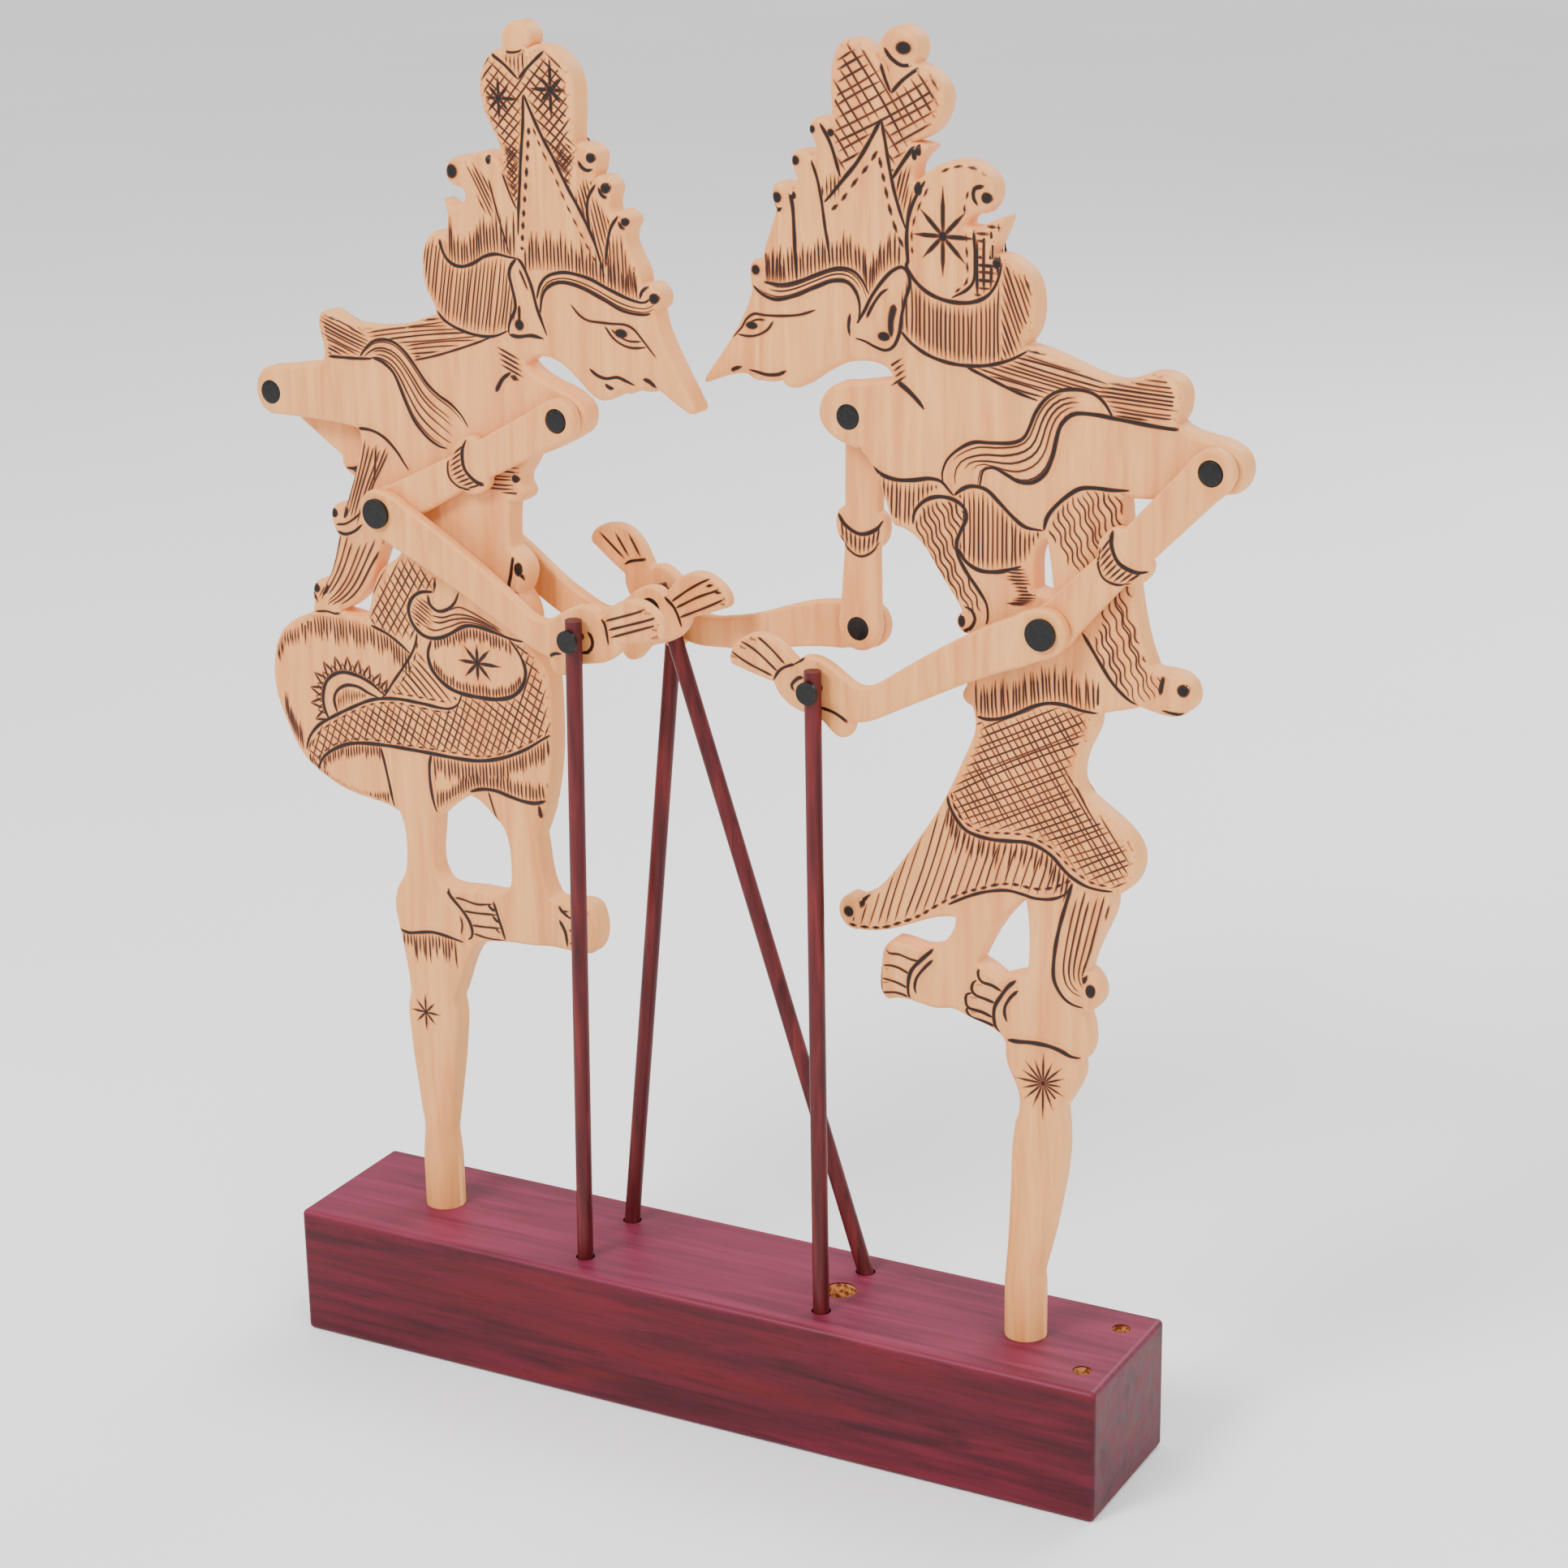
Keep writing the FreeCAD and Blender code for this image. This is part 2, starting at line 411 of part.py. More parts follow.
def make_board(figure, outline, gaps):
    body = doc.addObject("PartDesign::Body", figure + "_body")
    sketch = upright_sketch(body, figure + "_outline")
    draw_stretches(sketch, outline)
    for gap in gaps:
        draw_stretches(sketch, gap)
    pad = body.newObject("PartDesign::Pad", figure + "_board")
    pad.Profile = sketch
    pad.Midplane = True
    pad.setExpression("Length", "Sizes.board_thickness")
    sketch.Visibility = False
    doc.recompute()

    # The round stick: a straight foot in the socket and a taper that dies into the flat board.
    top = SIZE["stand_height"]
    foot = top - SIZE["socket_depth"] + FLOOR_GAP
    radius = SIZE["stick_diameter"] / 2
    profile = upright_sketch(body, figure + "_stick_profile")
    corners = [(0, foot), (radius - BEVEL, foot), (radius, foot + BEVEL), (radius, top + STRAIGHT),
               (HALF_BOARD * TAPER_END, top + TAPER_TOP), (0, top + TAPER_TOP)]
    for first, second in zip(corners, corners[1:] + corners[:1]):
        profile.addGeometry(Part.LineSegment(vec(*first), vec(*second)))
    turned = body.newObject("PartDesign::Revolution", figure + "_stick")
    turned.Profile = profile
    turned.ReferenceAxis = (profile, ["V_Axis"])
    turned.Angle = 360
    profile.Visibility = False
    doc.recompute()

    for arm, data in ARMS.items():
        if data["figure"] != figure:
            continue
        x, z = data["shoulder"]
        drill(body, arm + "_shoulder_hole", x, z, "pin_diameter", 0, -HALF_BOARD, HALF_BOARD)
        depth = SIZE["head_height"] + SEAT_SPARE
        inner = (HALF_BOARD - depth, HALF_BOARD) if data["side"] < 0 else (-HALF_BOARD, depth - HALF_BOARD)
        drill(body, arm + "_shoulder_seat", x, z, "head_diameter", SEAT, *inner)
    finish(body, figure + "_figure", figure)


def side_span(arm, inner, outer):
    """The two depths of a layer on the arm's own side of the board, front one first."""
    side = ARMS[arm]["side"]
    return tuple(sorted((side * inner, side * outer)))


def turned_points(points, origin, along, up, shift=(0, 0), turn=0.0):
    """Place local points: turn them, shift them, then lay them on two unit directions."""
    cos_t = math.cos(math.radians(turn))
    sin_t = math.sin(math.radians(turn))
    placed = []
    for x, z in points:
        px = x * cos_t - z * sin_t + shift[0]
        pz = x * sin_t + z * cos_t + shift[1]
        placed.append((origin[0] + px * along[0] + pz * up[0], origin[1] + px * along[1] + pz * up[1]))
    return placed


def arm_axes(start, end, facing):
    """Unit direction from start to end, and the unit direction to the hand's back."""
    length = math.hypot(end[0] - start[0], end[1] - start[1])
    along = ((end[0] - start[0]) / length, (end[1] - start[1]) / length)
    up = (-along[1] * facing, along[0] * facing)
    return along, up, length


def make_upper_arm(arm):
    data = ARMS[arm]
    facing = FIGURES[data["figure"]]["facing"]
    along, up, length = arm_axes(data["shoulder"], data["elbow"], facing)
    middle = FIGURES[data["figure"]]["bracelet"] * length
    lean = FIGURES[data["figure"]]["lean"]
    under = [(middle - lean + x, -z) for x, z in BRACELET]
    over = [(middle + lean + x, z) for x, z in reversed(BRACELET)]
    tip = [(length + x, z) for x, z in ARM_TIP]
    arm_shape = [
        ("shoulder end", SHOULDER),
        ("lower edge to the bracelet", under[:1]),
        ("bracelet, lower", under[1:]),
        ("lower edge to the elbow", tip[:1]),
        ("elbow end", tip[1:]),
        ("upper edge to the bracelet", over[:1]),
        ("bracelet, upper", over[1:]),
        ("upper edge to the shoulder", SHOULDER[:1]),
    ]
    body = doc.addObject("PartDesign::Body", arm + "_upper_body")
    sketch = upright_sketch(body, arm + "_upper_outline")
    draw_stretches(sketch, [(name, turned_points(points, data["shoulder"], along, up))
                            for name, points in arm_shape])
    near, far = side_span(arm, UPPER_INNER, UPPER_OUTER)
    pad_arm(body, sketch, arm + "_upper_board", far)

    # The shoulder pin's head sits in the outer face; the elbow pin's cap sits in the inner face.
    head = SIZE["head_height"]
    x, z = data["shoulder"]
    drill(body, arm + "_upper_bore", x, z, "pin_diameter", RUNNING, near, far)
    drill(body, arm + "_upper_recess", x, z, "head_diameter", LAYER_GAP,
          *side_span(arm, UPPER_OUTER - head - LAYER_GAP, UPPER_OUTER))
    x, z = data["elbow"]
    drill(body, arm + "_elbow_hole", x, z, "pin_diameter", 0, near, far)
    drill(body, arm + "_elbow_seat", x, z, "head_diameter", SEAT,
          *side_span(arm, UPPER_INNER, UPPER_INNER + head + SEAT_SPARE))
    finish(body, arm + "_upper_arm", data["figure"])


def make_forearm(arm):
    data = ARMS[arm]
    facing = FIGURES[data["figure"]]["facing"]
    along, up, length = arm_axes(data["elbow"], data["hand"], facing)
    shift_x, shift_z, turn = data["palm"]
    hand = []
    for name, points in HAND:
        moved = turned_points(points, data["hand"], along, up, (shift_x, shift_z), turn)
        hand.append((name, moved))
    elbow = turned_points(ELBOW, data["elbow"], along, up)
    under = turned_points([(length * SLIM, SLIM_UNDER)], data["elbow"], along, up)
    over = turned_points([(length * SLIM, SLIM_OVER)], data["elbow"], along, up)
    stretches = hand[1:-1]
    stretches.append(("wrist and forearm, under", hand[-1][1] + under + elbow[:1]))
    stretches.append(("elbow", elbow[1:]))
    stretches.append(("forearm and wrist, over", over + hand[0][1]))
    body = doc.addObject("PartDesign::Body", arm + "_fore_body")
    sketch = upright_sketch(body, arm + "_fore_outline")
    draw_stretches(sketch, stretches)
    near, far = side_span(arm, FORE_INNER, FORE_OUTER)
    pad_arm(body, sketch, arm + "_fore_board", far)
    x, z = data["elbow"]
    drill(body, arm + "_fore_bore", x, z, "pin_diameter", RUNNING, near, far)
    x, z = data["hand"]
    drill(body, arm + "_hand_hole", x, z, "hand_pin_diameter", 0, near, far)
    drill(body, arm + "_hand_seat", x, z, "head_diameter", SEAT,
          *side_span(arm, FORE_INNER, FORE_INNER + SIZE["head_height"] + SEAT_SPARE))
    finish(body, arm + "_forearm", data["figure"])


def make_rod(arm):
    data = ARMS[arm]
    foot, up, length = rod_line(arm)
    below = SIZE["rod_hole_depth"] - FLOOR_GAP
    bottom = foot.sub(up * below)
    radius = SIZE["rod_diameter"] / 2
    tip = cone(arm + "_rod_tip", radius - ROD_TIP, radius, BEVEL, bottom, up)
    whole = cylinder(arm + "_rod_round", "rod_diameter", 0, below + length + ROD_TOP - BEVEL,
                     bottom + up * BEVEL, up)
    x, z = data["hand"]
    span = SIZE["rod_diameter"]
    start = in_world(data["figure"], x, data["side"] * ROD_CENTRE - span, z)
    across = in_world(data["figure"], 0, 1, 0).sub(in_world(data["figure"], 0, 0, 0))
    bore = cylinder(arm + "_rod_bore", "hand_pin_diameter", RUNNING, 2 * span, start, across)
    finish(cut(arm + "_rod_solid", fuse(arm + "_rod_stick", [tip, whole]), bore), arm + "_rod")


def make_pin(arm, joint, shaft_alias, head_alias, head_at, cap_at):
    """A pin along y: a head at depth head_at, a shaft, and a pressed cap ending at depth cap_at."""
    data = ARMS[arm]
    x, z = data[joint]
    figure = data["figure"]
    side = 1 if head_at > cap_at else -1
    height = SIZE["head_height"]
    axis = in_world(figure, 0, side, 0).sub(in_world(figure, 0, 0, 0))
    cap_start = in_world(figure, x, cap_at, z)
    free = height * (1 - PIN_IN_CAP)
    shaft_start = in_world(figure, x, cap_at + side * free, z)
    shaft_length = abs(head_at - cap_at) - free - height
    head_start = in_world(figure, x, head_at - side * height, z)
    name = arm + "_" + joint
    shaft = cylinder(name + "_shaft", shaft_alias, 0, shaft_length, shaft_start, axis)
    head = cylinder(name + "_head", head_alias, 0, height, head_start, axis)
    finish(fuse(name + "_pin_solid", [shaft, head]), name + "_pin")
    disc = cylinder(name + "_disc", "head_diameter", 0, height, cap_start, axis)
    seat = cylinder(name + "_cap_seat", shaft_alias, 0, height, shaft_start, axis)
    finish(cut(name + "_cap_solid", disc, seat), name + "_cap")


def make_pins(arm):
    side = ARMS[arm]["side"]
    height = SIZE["head_height"]
    make_pin(arm, "shoulder", "pin_diameter", "head_diameter", side * UPPER_OUTER, -side * HALF_BOARD)
    make_pin(arm, "elbow", "pin_diameter", "elbow_head_diameter",
             side * (FORE_OUTER + LAYER_GAP + height), side * UPPER_INNER)
    make_pin(arm, "hand", "hand_pin_diameter", "head_diameter",
             side * (ROD_OUTER + LAYER_GAP + height), side * FORE_INNER)


make_stand()
make_board("left", LEFT_OUTLINE, [LEFT_LEG_GAP, LEFT_TAIL_GAP])
make_board("right", RIGHT_OUTLINE, [RIGHT_LEG_GAP, RIGHT_WAIST_GAP])
for arm_name in ARMS:
    make_upper_arm(arm_name)
    make_forearm(arm_name)
    make_rod(arm_name)
    make_pins(arm_name)
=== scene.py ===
import math
import random

import bmesh
import bpy
import numpy as np
from mathutils import Matrix, Vector
from mathutils.geometry import delaunay_2d_cdt


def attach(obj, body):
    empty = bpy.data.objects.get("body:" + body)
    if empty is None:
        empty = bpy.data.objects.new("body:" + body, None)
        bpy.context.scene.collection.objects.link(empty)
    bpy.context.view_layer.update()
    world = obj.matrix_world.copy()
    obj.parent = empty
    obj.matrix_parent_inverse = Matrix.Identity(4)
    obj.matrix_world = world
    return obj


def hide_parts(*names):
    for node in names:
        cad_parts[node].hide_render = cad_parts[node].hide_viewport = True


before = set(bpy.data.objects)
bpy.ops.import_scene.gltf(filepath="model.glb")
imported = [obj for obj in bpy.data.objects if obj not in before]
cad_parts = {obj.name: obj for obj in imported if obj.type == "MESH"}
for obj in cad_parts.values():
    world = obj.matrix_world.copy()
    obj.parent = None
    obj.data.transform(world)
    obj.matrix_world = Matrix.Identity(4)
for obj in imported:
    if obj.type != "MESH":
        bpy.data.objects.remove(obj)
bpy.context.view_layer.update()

MM = 0.001
random.seed(7)

# Where each board stands, which way its fingers point (+1 is +x) and where its bracelets sit.
FIGURES = {
    "left": {"stick_x": -94.6, "turn": -4.0, "facing": 1, "bracelet": 0.50},
    "right": {"stick_x": 99.4, "turn": -3.0, "facing": -1, "bracelet": 0.53},
}
# Pin places in board millimetres; side -1 is the front of the board.
ARMS = {
    "left_front": {"side": -1, "shoulder": (58.0, 290.7), "elbow": (-2.4, 258.7), "hand": (67.0, 232.1)},
    "left_back": {"side": 1, "shoulder": (-46.3, 287.6), "elbow": (6.0, 252.0), "hand": (75.8, 235.8)},
    "right_front": {"side": -1, "shoulder": (53.9, 294.5), "elbow": (9.5, 248.2), "hand": (-57.4, 224.3)},
    "right_back": {"side": 1, "shoulder": (-52.6, 297.3), "elbow": (-54.9, 236.8), "hand": (-121.2, 232.3)},
}
BOARD_HALF = 4.0
BOARD_EASE = 1.7        # radius of a board's rounded edge
NECK_TOP = 90.0         # below here a board's edge grows rounder towards the stick,
NECK_REACH = 28.0       # over this much height
UPPER_LAYER = (4.3, 8.3)
FORE_LAYER = (8.6, 12.6)
ARM_HALF = 2.0
ARM_EASE = 1.2
STICK_RADIUS = 6.0
STICK_TOP = 56.0        # the stick is round up to here, then tapers into the board
TAPER_TOP = 102.0
TAPER_TIP = 2.4
STICK_FOOT = 10.5
STAND_TOP = 40.0
SPARE_HOLES = ((40.8, 0.0, 5.0), (122.5, 13.8, 2.7), (122.5, -13.8, 2.7))   # x, y and radius in the stand

# How finely a rounded board is cut up.
OUTLINE_STEP = 1.5
GRID_STEP = 4.0
STICK_GRID_TOP = 84.0
BOARD_RINGS = (0.12, 0.4, 0.8, 1.25, 1.8)       # distances from the outline
ARM_RINGS = (0.12, 0.4, 0.8, 1.25)
FLAT = 0.01             # points this near a plane are on it

# Burned lines are thin strips just above the wood.
LIFT = 0.13             # how far a line's middle stands off the wood
LIFT_EDGE = 0.08
OUTLINE_GAP = 0.35      # lines stop this far inside the outline
WIDE_LINE = 0.75        # a line this wide also scorches the wood beside it
TIP_DARK = 0.45         # a line's two tips are paler
DOT_ROOM = 0.3          # wood wanted round a dot
DOT_SHADES = ((0.4, 1.0), (0.75, 0.95), (1.15, 0.25), (1.5, 0.1), (1.8, 0.0))   # size, darkness
FLOW_POINTS = 24

PEG_SIDES = 32
PEG_PROFILE = ((1.0, -0.05), (1.0, 0.03), (0.93, 0.09), (0.7, 0.13), (0.35, 0.15))  # radius, height
PEG_TIP = 0.16


def placement(figure):
    """From board millimetres to the frame's metres."""
    data = FIGURES[figure]
    turn = Matrix.Rotation(math.radians(data["turn"]), 4, "Z")
    return Matrix.Translation((data["stick_x"] * MM, 0, 0)) @ turn @ Matrix.Scale(MM, 4)


# ---------------------------------------------------------------------------- outlines

def area(loop):
    x, z = loop[:, 0], loop[:, 1]
    return 0.5 * float(np.sum(x * np.roll(z, -1) - np.roll(x, -1) * z))


def local_mesh(node, figure):
    mesh = bmesh.new()
    mesh.from_mesh(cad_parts[node].data)
    bmesh.ops.transform(mesh, matrix=placement(figure).inverted(), verts=mesh.verts)
    bmesh.ops.remove_doubles(mesh, verts=mesh.verts, dist=0.002)
    return mesh


def face_loops(mesh, depth):
    """Closed loops round the flat face at that depth, largest first."""
    flat = {f for f in mesh.faces if all(abs(v.co.y - depth) < FLAT for v in f.verts)}
    links = {}
    for edge in mesh.edges:
        if sum(f in flat for f in edge.link_faces) == 1:
            one, two = edge.verts
            links.setdefault(one, []).append(two)
            links.setdefault(two, []).append(one)
    loops = []
    while links:
        chain = [next(iter(links))]
        here = chain[0]
        while here in links:
            ahead = links[here].pop()
            links[ahead].remove(here)
            for end in (here, ahead):
                if not links[end]:
                    del links[end]
            here = ahead
            chain.append(here)
        loops.append(np.array([(v.co.x, v.co.z) for v in chain[:-1]]))
    return sorted(loops, key=lambda loop: -abs(area(loop)))


def is_round(loop, largest=60, roundness=0.97):
    """True for a pin's hole or seat: a small loop, in square millimetres, that is nearly a circle."""
    around = float(np.sum(np.hypot(*(loop - np.roll(loop, -1, axis=0)).T)))
    size = abs(area(loop))
    return size < largest and 4 * math.pi * size / around ** 2 > roundness


def turned(loop, anticlockwise):
    return loop if (area(loop) > 0) == anticlockwise else loop[::-1]


def refined(loop, step):
    """The loop with no edge longer than step."""
    points = []
    for here, ahead in zip(loop, np.roll(loop, -1, axis=0)):
        count = max(1, int(math.ceil(np.hypot(*(ahead - here)) / step)))
        points += [here + (ahead - here) * k / count for k in range(count)]
    return np.array(points)


def left_sides(ways):
    """Unit vectors to the left of each direction."""
    sides = np.stack([-ways[:, 1], ways[:, 0]], axis=1)
    return sides / np.maximum(np.hypot(*sides.T), 1e-9)[:, None]


def distance(points, loops, batch=2000):
    """Distance from each point to the nearest outline; negative outside the wood."""
    starts = np.concatenate(loops)
    ends = np.concatenate([np.roll(loop, -1, axis=0) for loop in loops])
    along = ends - starts
    square = np.maximum((along ** 2).sum(axis=1), 1e-12)
    rise = np.where(ends[:, 1] == starts[:, 1], 1, ends[:, 1] - starts[:, 1])
    result = np.empty(len(points))
    for first in range(0, len(points), batch):
        part = points[first:first + batch]
        offset = part[:, None, :] - starts[None, :, :]
        share = np.clip((offset * along).sum(axis=2) / square, 0, 1)
        gap = offset - share[:, :, None] * along
        near = np.sqrt((gap ** 2).sum(axis=2).min(axis=1))
        x, z = part[:, 0][:, None], part[:, 1][:, None]
        spans = (starts[:, 1] > z) != (ends[:, 1] > z)
        crossing = starts[:, 0] + along[:, 0] * (z - starts[:, 1]) / rise
        inside = (spans & (x < crossing)).sum(axis=1) % 2 == 1
        result[first:first + batch] = np.where(inside, near, -near)
    return result


# ---------------------------------------------------------------------------- rounded wood

def taper(z):
    """Radius of the turned stick at height z."""
    share = np.clip((z - STICK_TOP) / (TAPER_TOP - STICK_TOP), 0, 1)
    return np.where(z < TAPER_TOP, STICK_RADIUS + (TAPER_TIP - STICK_RADIUS) * share, 0.0)


def eased(gap, half, ease):
    """Half thickness at a distance from the outline, for an edge rounded to radius ease."""
    inner = np.clip(ease - gap, 0, ease)
    return half - ease + np.sqrt(np.maximum(ease ** 2 - inner ** 2, 0))


def board_depth(points, gap):
    """Half thickness of a board and its stick."""
    z = points[:, 1]
    ease = BOARD_EASE + (BOARD_HALF - BOARD_EASE) * np.clip((NECK_TOP - z) / NECK_REACH, 0, 1)
    stick = np.sqrt(np.maximum(taper(z) ** 2 - points[:, 0] ** 2, 0))
    return np.maximum(eased(gap, BOARD_HALF, ease), stick)


def arm_depth(points, gap):
    return eased(gap, ARM_HALF, ARM_EASE)


def lattice(xs, zs):
    xs, zs = np.meshgrid(xs, zs)
    return np.stack([xs.ravel(), zs.ravel()], axis=1)


def grid_points(loops, room):
    """A staggered grid of points with that much room round each, and a finer one down a stick."""
    low, high = loops[0].min(axis=0), loops[0].max(axis=0)
    spots = lattice(np.arange(low[0], high[0], GRID_STEP), np.arange(low[1], high[1], GRID_STEP))
    spots[:, 0] += GRID_STEP * 0.5 * (np.round(spots[:, 1] / GRID_STEP) % 2)
    if low[1] < STICK_TOP:
        stick = lattice(np.arange(-STICK_RADIUS, STICK_RADIUS + 0.1, 1.0),
                        np.arange(low[1] + 1, STICK_GRID_TOP, 2.0))
        spots = np.concatenate([spots[spots[:, 1] > STICK_GRID_TOP], stick])
        room = np.where(spots[:, 1] < STICK_GRID_TOP, 0.4, room)
    return spots[distance(spots, loops) > room]


def fill(loops, straight, rings):
    """Triangles between the loops, with rings of points along each eased edge and a grid inside."""
    eased_loops = [refined(turned(loop, k == 0), OUTLINE_STEP) for k, loop in enumerate(loops)]
    outline = eased_loops + [turned(loop, False) for loop in straight]
    bounds = loops + straight
    points = list(np.concatenate(outline))
    edges = []
    base = 0
    for loop in outline:
        edges += [(base + k, base + (k + 1) % len(loop)) for k in range(len(loop))]
        base += len(loop)
    for loop in eased_loops:
        inward = left_sides(np.roll(loop, -1, axis=0) - np.roll(loop, 1, axis=0))
        for gap in rings:
            ring = loop + inward * gap
            points += list(ring[distance(ring, bounds) > gap * 0.96 - 0.01])
    points += list(grid_points(bounds, rings[-1] + 0.7))
    found = delaunay_2d_cdt([Vector((float(x), float(z))) for x, z in points], edges, [], 0, 1e-4, False)
    places = np.array([(v.x, v.y) for v in found[0]])
    faces = np.array([f for f in found[2] if len(f) == 3])
    faces = faces[distance(places[faces].mean(axis=1), bounds) > 0]
    flip = np.array([clockwise(places[face]) for face in faces])
    faces[flip] = faces[flip][:, ::-1]
    return places, faces


def clockwise(corners):
    (ax, az), (bx, bz), (cx, cz) = corners
    return (bx - ax) * (cz - az) - (bz - az) * (cx - ax) < 0


def rim_edges(faces):
    """Edges that only one triangle uses, in that triangle's direction."""
    seen = {edge: True for a, b, c in faces.tolist() for edge in ((a, b), (b, c), (c, a))}
    return [edge for edge in seen if (edge[1], edge[0]) not in seen]


def new_piece(name, figure, verts, faces, material, layers):
    """A mesh object from board millimetres, with its float layers on the vertices."""
    mesh = bpy.data.meshes.new(name)
    mesh.from_pydata([tuple(v) for v in verts], [], faces)
    mesh.transform(placement(figure))
    for layer, values in layers.items():
        mesh.attributes.new(layer, "FLOAT", "POINT").data.foreach_set("value", values)
    mesh.validate()
    mesh.polygons.foreach_set("use_smooth", [True] * len(mesh.polygons))
    mesh.materials.append(material)
    piece = bpy.data.objects.new(name, mesh)
    bpy.context.collection.objects.link(piece)
    return piece


def stick_outline(loop):
    """Replace the flat outline's foot by the turned stick's, down into the socket.

    Where the board is still wider than the stick the board's own sides are kept.
    """
    levels = np.append(np.arange(TAPER_TOP - 1, STICK_FOOT + 1.5, -3.0), STICK_FOOT)
    hidden = np.sqrt(np.maximum(taper(loop[:, 1]) ** 2 - BOARD_HALF ** 2, 0)) + 0.1
    near_taper = (loop[:, 1] > STICK_TOP + 4) & (loop[:, 1] < TAPER_TOP + 8)
    edge = loop[near_taper & (np.abs(loop[:, 0]) > hidden)]
    sides = []
    for sign in (1, -1):
        side = edge[edge[:, 0] * sign > 0]
        side = side[np.argsort(side[:, 1])]
        flat = np.interp(levels, side[:, 1], np.abs(side[:, 0]), left=0)
        sides.append(np.stack([sign * np.maximum(flat, taper(levels)), levels], axis=1))
    kept = loop[:, 1] > TAPER_TOP + 1
    first = next(k for k in range(len(loop)) if kept[k] and not kept[k - 1])
    run = np.roll(loop, -first, axis=0)
    run = run[np.roll(kept, -first)]
    right, left = sides
    foot = [right, left[::-1]] if run[-1][0] > 0 else [left, right[::-1]]
    return np.concatenate([run] + foot)


def make_board(figure, material):
    node = figure + "_figure"
    mesh = local_mesh(node, figure)
    loops = [loop for loop in face_loops(mesh, -BOARD_HALF) if not is_round(loop)]
    mesh.free()
    loops[0] = stick_outline(loops[0])
    places, tris = fill(loops, [], BOARD_RINGS)
    gap = np.maximum(distance(places, loops), 0)
    depth = board_depth(places, gap)
    count = len(places)
    verts = [(x, side * y, z) for side in (-1, 1) for (x, z), y in zip(places, depth)]
    faces = tris.tolist() + (tris[:, ::-1] + count).tolist()
    faces += [(b, a, a + count, b + count) for a, b in rim_edges(tris)]
    # How near each point is to the rounded edge, for the painted highlight on the rims.
    rim_highlight = np.clip(1 - gap / BOARD_EASE, 0, 1)
    piece = new_piece(node + "_carved", figure, verts, faces, material, {"rim_highlight": np.tile(rim_highlight, 2)})
    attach(piece, figure + "_puppet")
    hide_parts(node)
    return loops


def outline_wall(front, back):
    """Faces that join an arm's two skins along its outline."""
    (base, places, tris, gap), (far_base, far_places, _, _) = front, back
    opposite = {(round(x, 2), round(z, 2)): k + far_base for k, (x, z) in enumerate(far_places)}
    for a, b in rim_edges(tris):
        if gap[a] < FLAT / 2 and gap[b] < FLAT / 2:
            ends = [opposite.get((round(places[k][0], 2), round(places[k][1], 2))) for k in (a, b)]
            if None not in ends:
                yield b + base, a + base, ends[0], ends[1]


def hole_walls(mesh, outer, near, far):
    """Corners of the CAD faces that are neither on an arm's two flat sides nor on its outline."""
    for face in mesh.faces:
        heights = [v.co.y for v in face.verts]
        level = max(heights) - min(heights) < FLAT
        corners = np.array([(v.co.x, v.co.z) for v in face.verts])
        on_side = level and min(abs(heights[0] - near), abs(heights[0] - far)) < FLAT
        if not on_side and not np.all(np.abs(distance(corners, [outer])) < 3 * FLAT):
            yield [tuple(v.co) for v in face.verts]


def make_arm(arm, part, body, layer, material):
    """An arm board: eased skins on both faces, and the CAD's own hole walls between them."""
    figure = arm.split("_")[0]
    node = arm + part
    mesh = local_mesh(node, figure)
    near, far = sorted(ARMS[arm]["side"] * depth for depth in layer)
    front, back = face_loops(mesh, near), face_loops(mesh, far)
    outer = front[0]
    verts, faces, rim_highlight, skins = [], [], [], []
    for loops, sign in ((front, -1), (back, 1)):
        places, tris = fill([outer], loops[1:], ARM_RINGS)
        gap = np.maximum(distance(places, [outer]), 0)
        depth = (near + far) / 2 + sign * arm_depth(places, gap)
        base = len(verts)
        skins.append((base, places, tris, gap))
        verts += [(x, y, z) for (x, z), y in zip(places, depth)]
        faces += (tris + base if sign < 0 else tris[:, ::-1] + base).tolist()
        # The same painted highlight, strongest at the arm's outline.
        rim_highlight += np.clip(1 - gap / ARM_EASE, 0, 1).tolist()
    faces += outline_wall(*skins)
    for corners in hole_walls(mesh, outer, near, far):
        faces.append([len(verts) + k for k in range(len(corners))])
        verts += corners
        rim_highlight += [0.0] * len(corners)
    mesh.free()
    piece = new_piece(node + "_carved", figure, verts, faces, material, {"rim_highlight": rim_highlight})
    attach(piece, body)
    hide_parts(node)
    return outer


# ---------------------------------------------------------------------------- burned drawing

def curve(points, step=0.9, straight_step=2.5):
    """Points about a step apart on a smooth curve through the given ones."""
    p = np.array(points, float)
    if len(p) == 2:
        count = max(2, int(np.hypot(*(p[1] - p[0])) / straight_step) + 2)
        return p[0] + (p[1] - p[0]) * np.linspace(0, 1, count)[:, None]
    q = np.vstack([2 * p[0] - p[1], p, 2 * p[-1] - p[-2]])
    pieces = []
    for k in range(1, len(q) - 2):
        a, b, c, d = q[k - 1:k + 3]
        count = max(2, int(np.hypot(*(c - b)) / step))
        t = (np.arange(count) / count)[:, None]
        pieces.append(0.5 * (2 * b + (c - a) * t + (2 * a - 5 * b + 4 * c - d) * t ** 2
                             + (3 * b - a - 3 * c + d) * t ** 3))
    return np.concatenate(pieces + [p[-1:]])


class Path:
    """A smooth curve that gives the place at a distance along it."""

    def __init__(self, points, step=0.5):
        self.points = curve(points, step)
        self.run = np.concatenate([[0], np.cumsum(np.hypot(*np.diff(self.points, axis=0).T))])
        self.length = self.run[-1]

    def at(self, spots):
        return np.stack([np.interp(spots, self.run, self.points[:, k]) for k in (0, 1)], axis=-1)


def direction(angle):
    return np.array([math.cos(math.radians(angle)), math.sin(math.radians(angle))])


def left_of(way):
    return np.array([-way[1], way[0]])


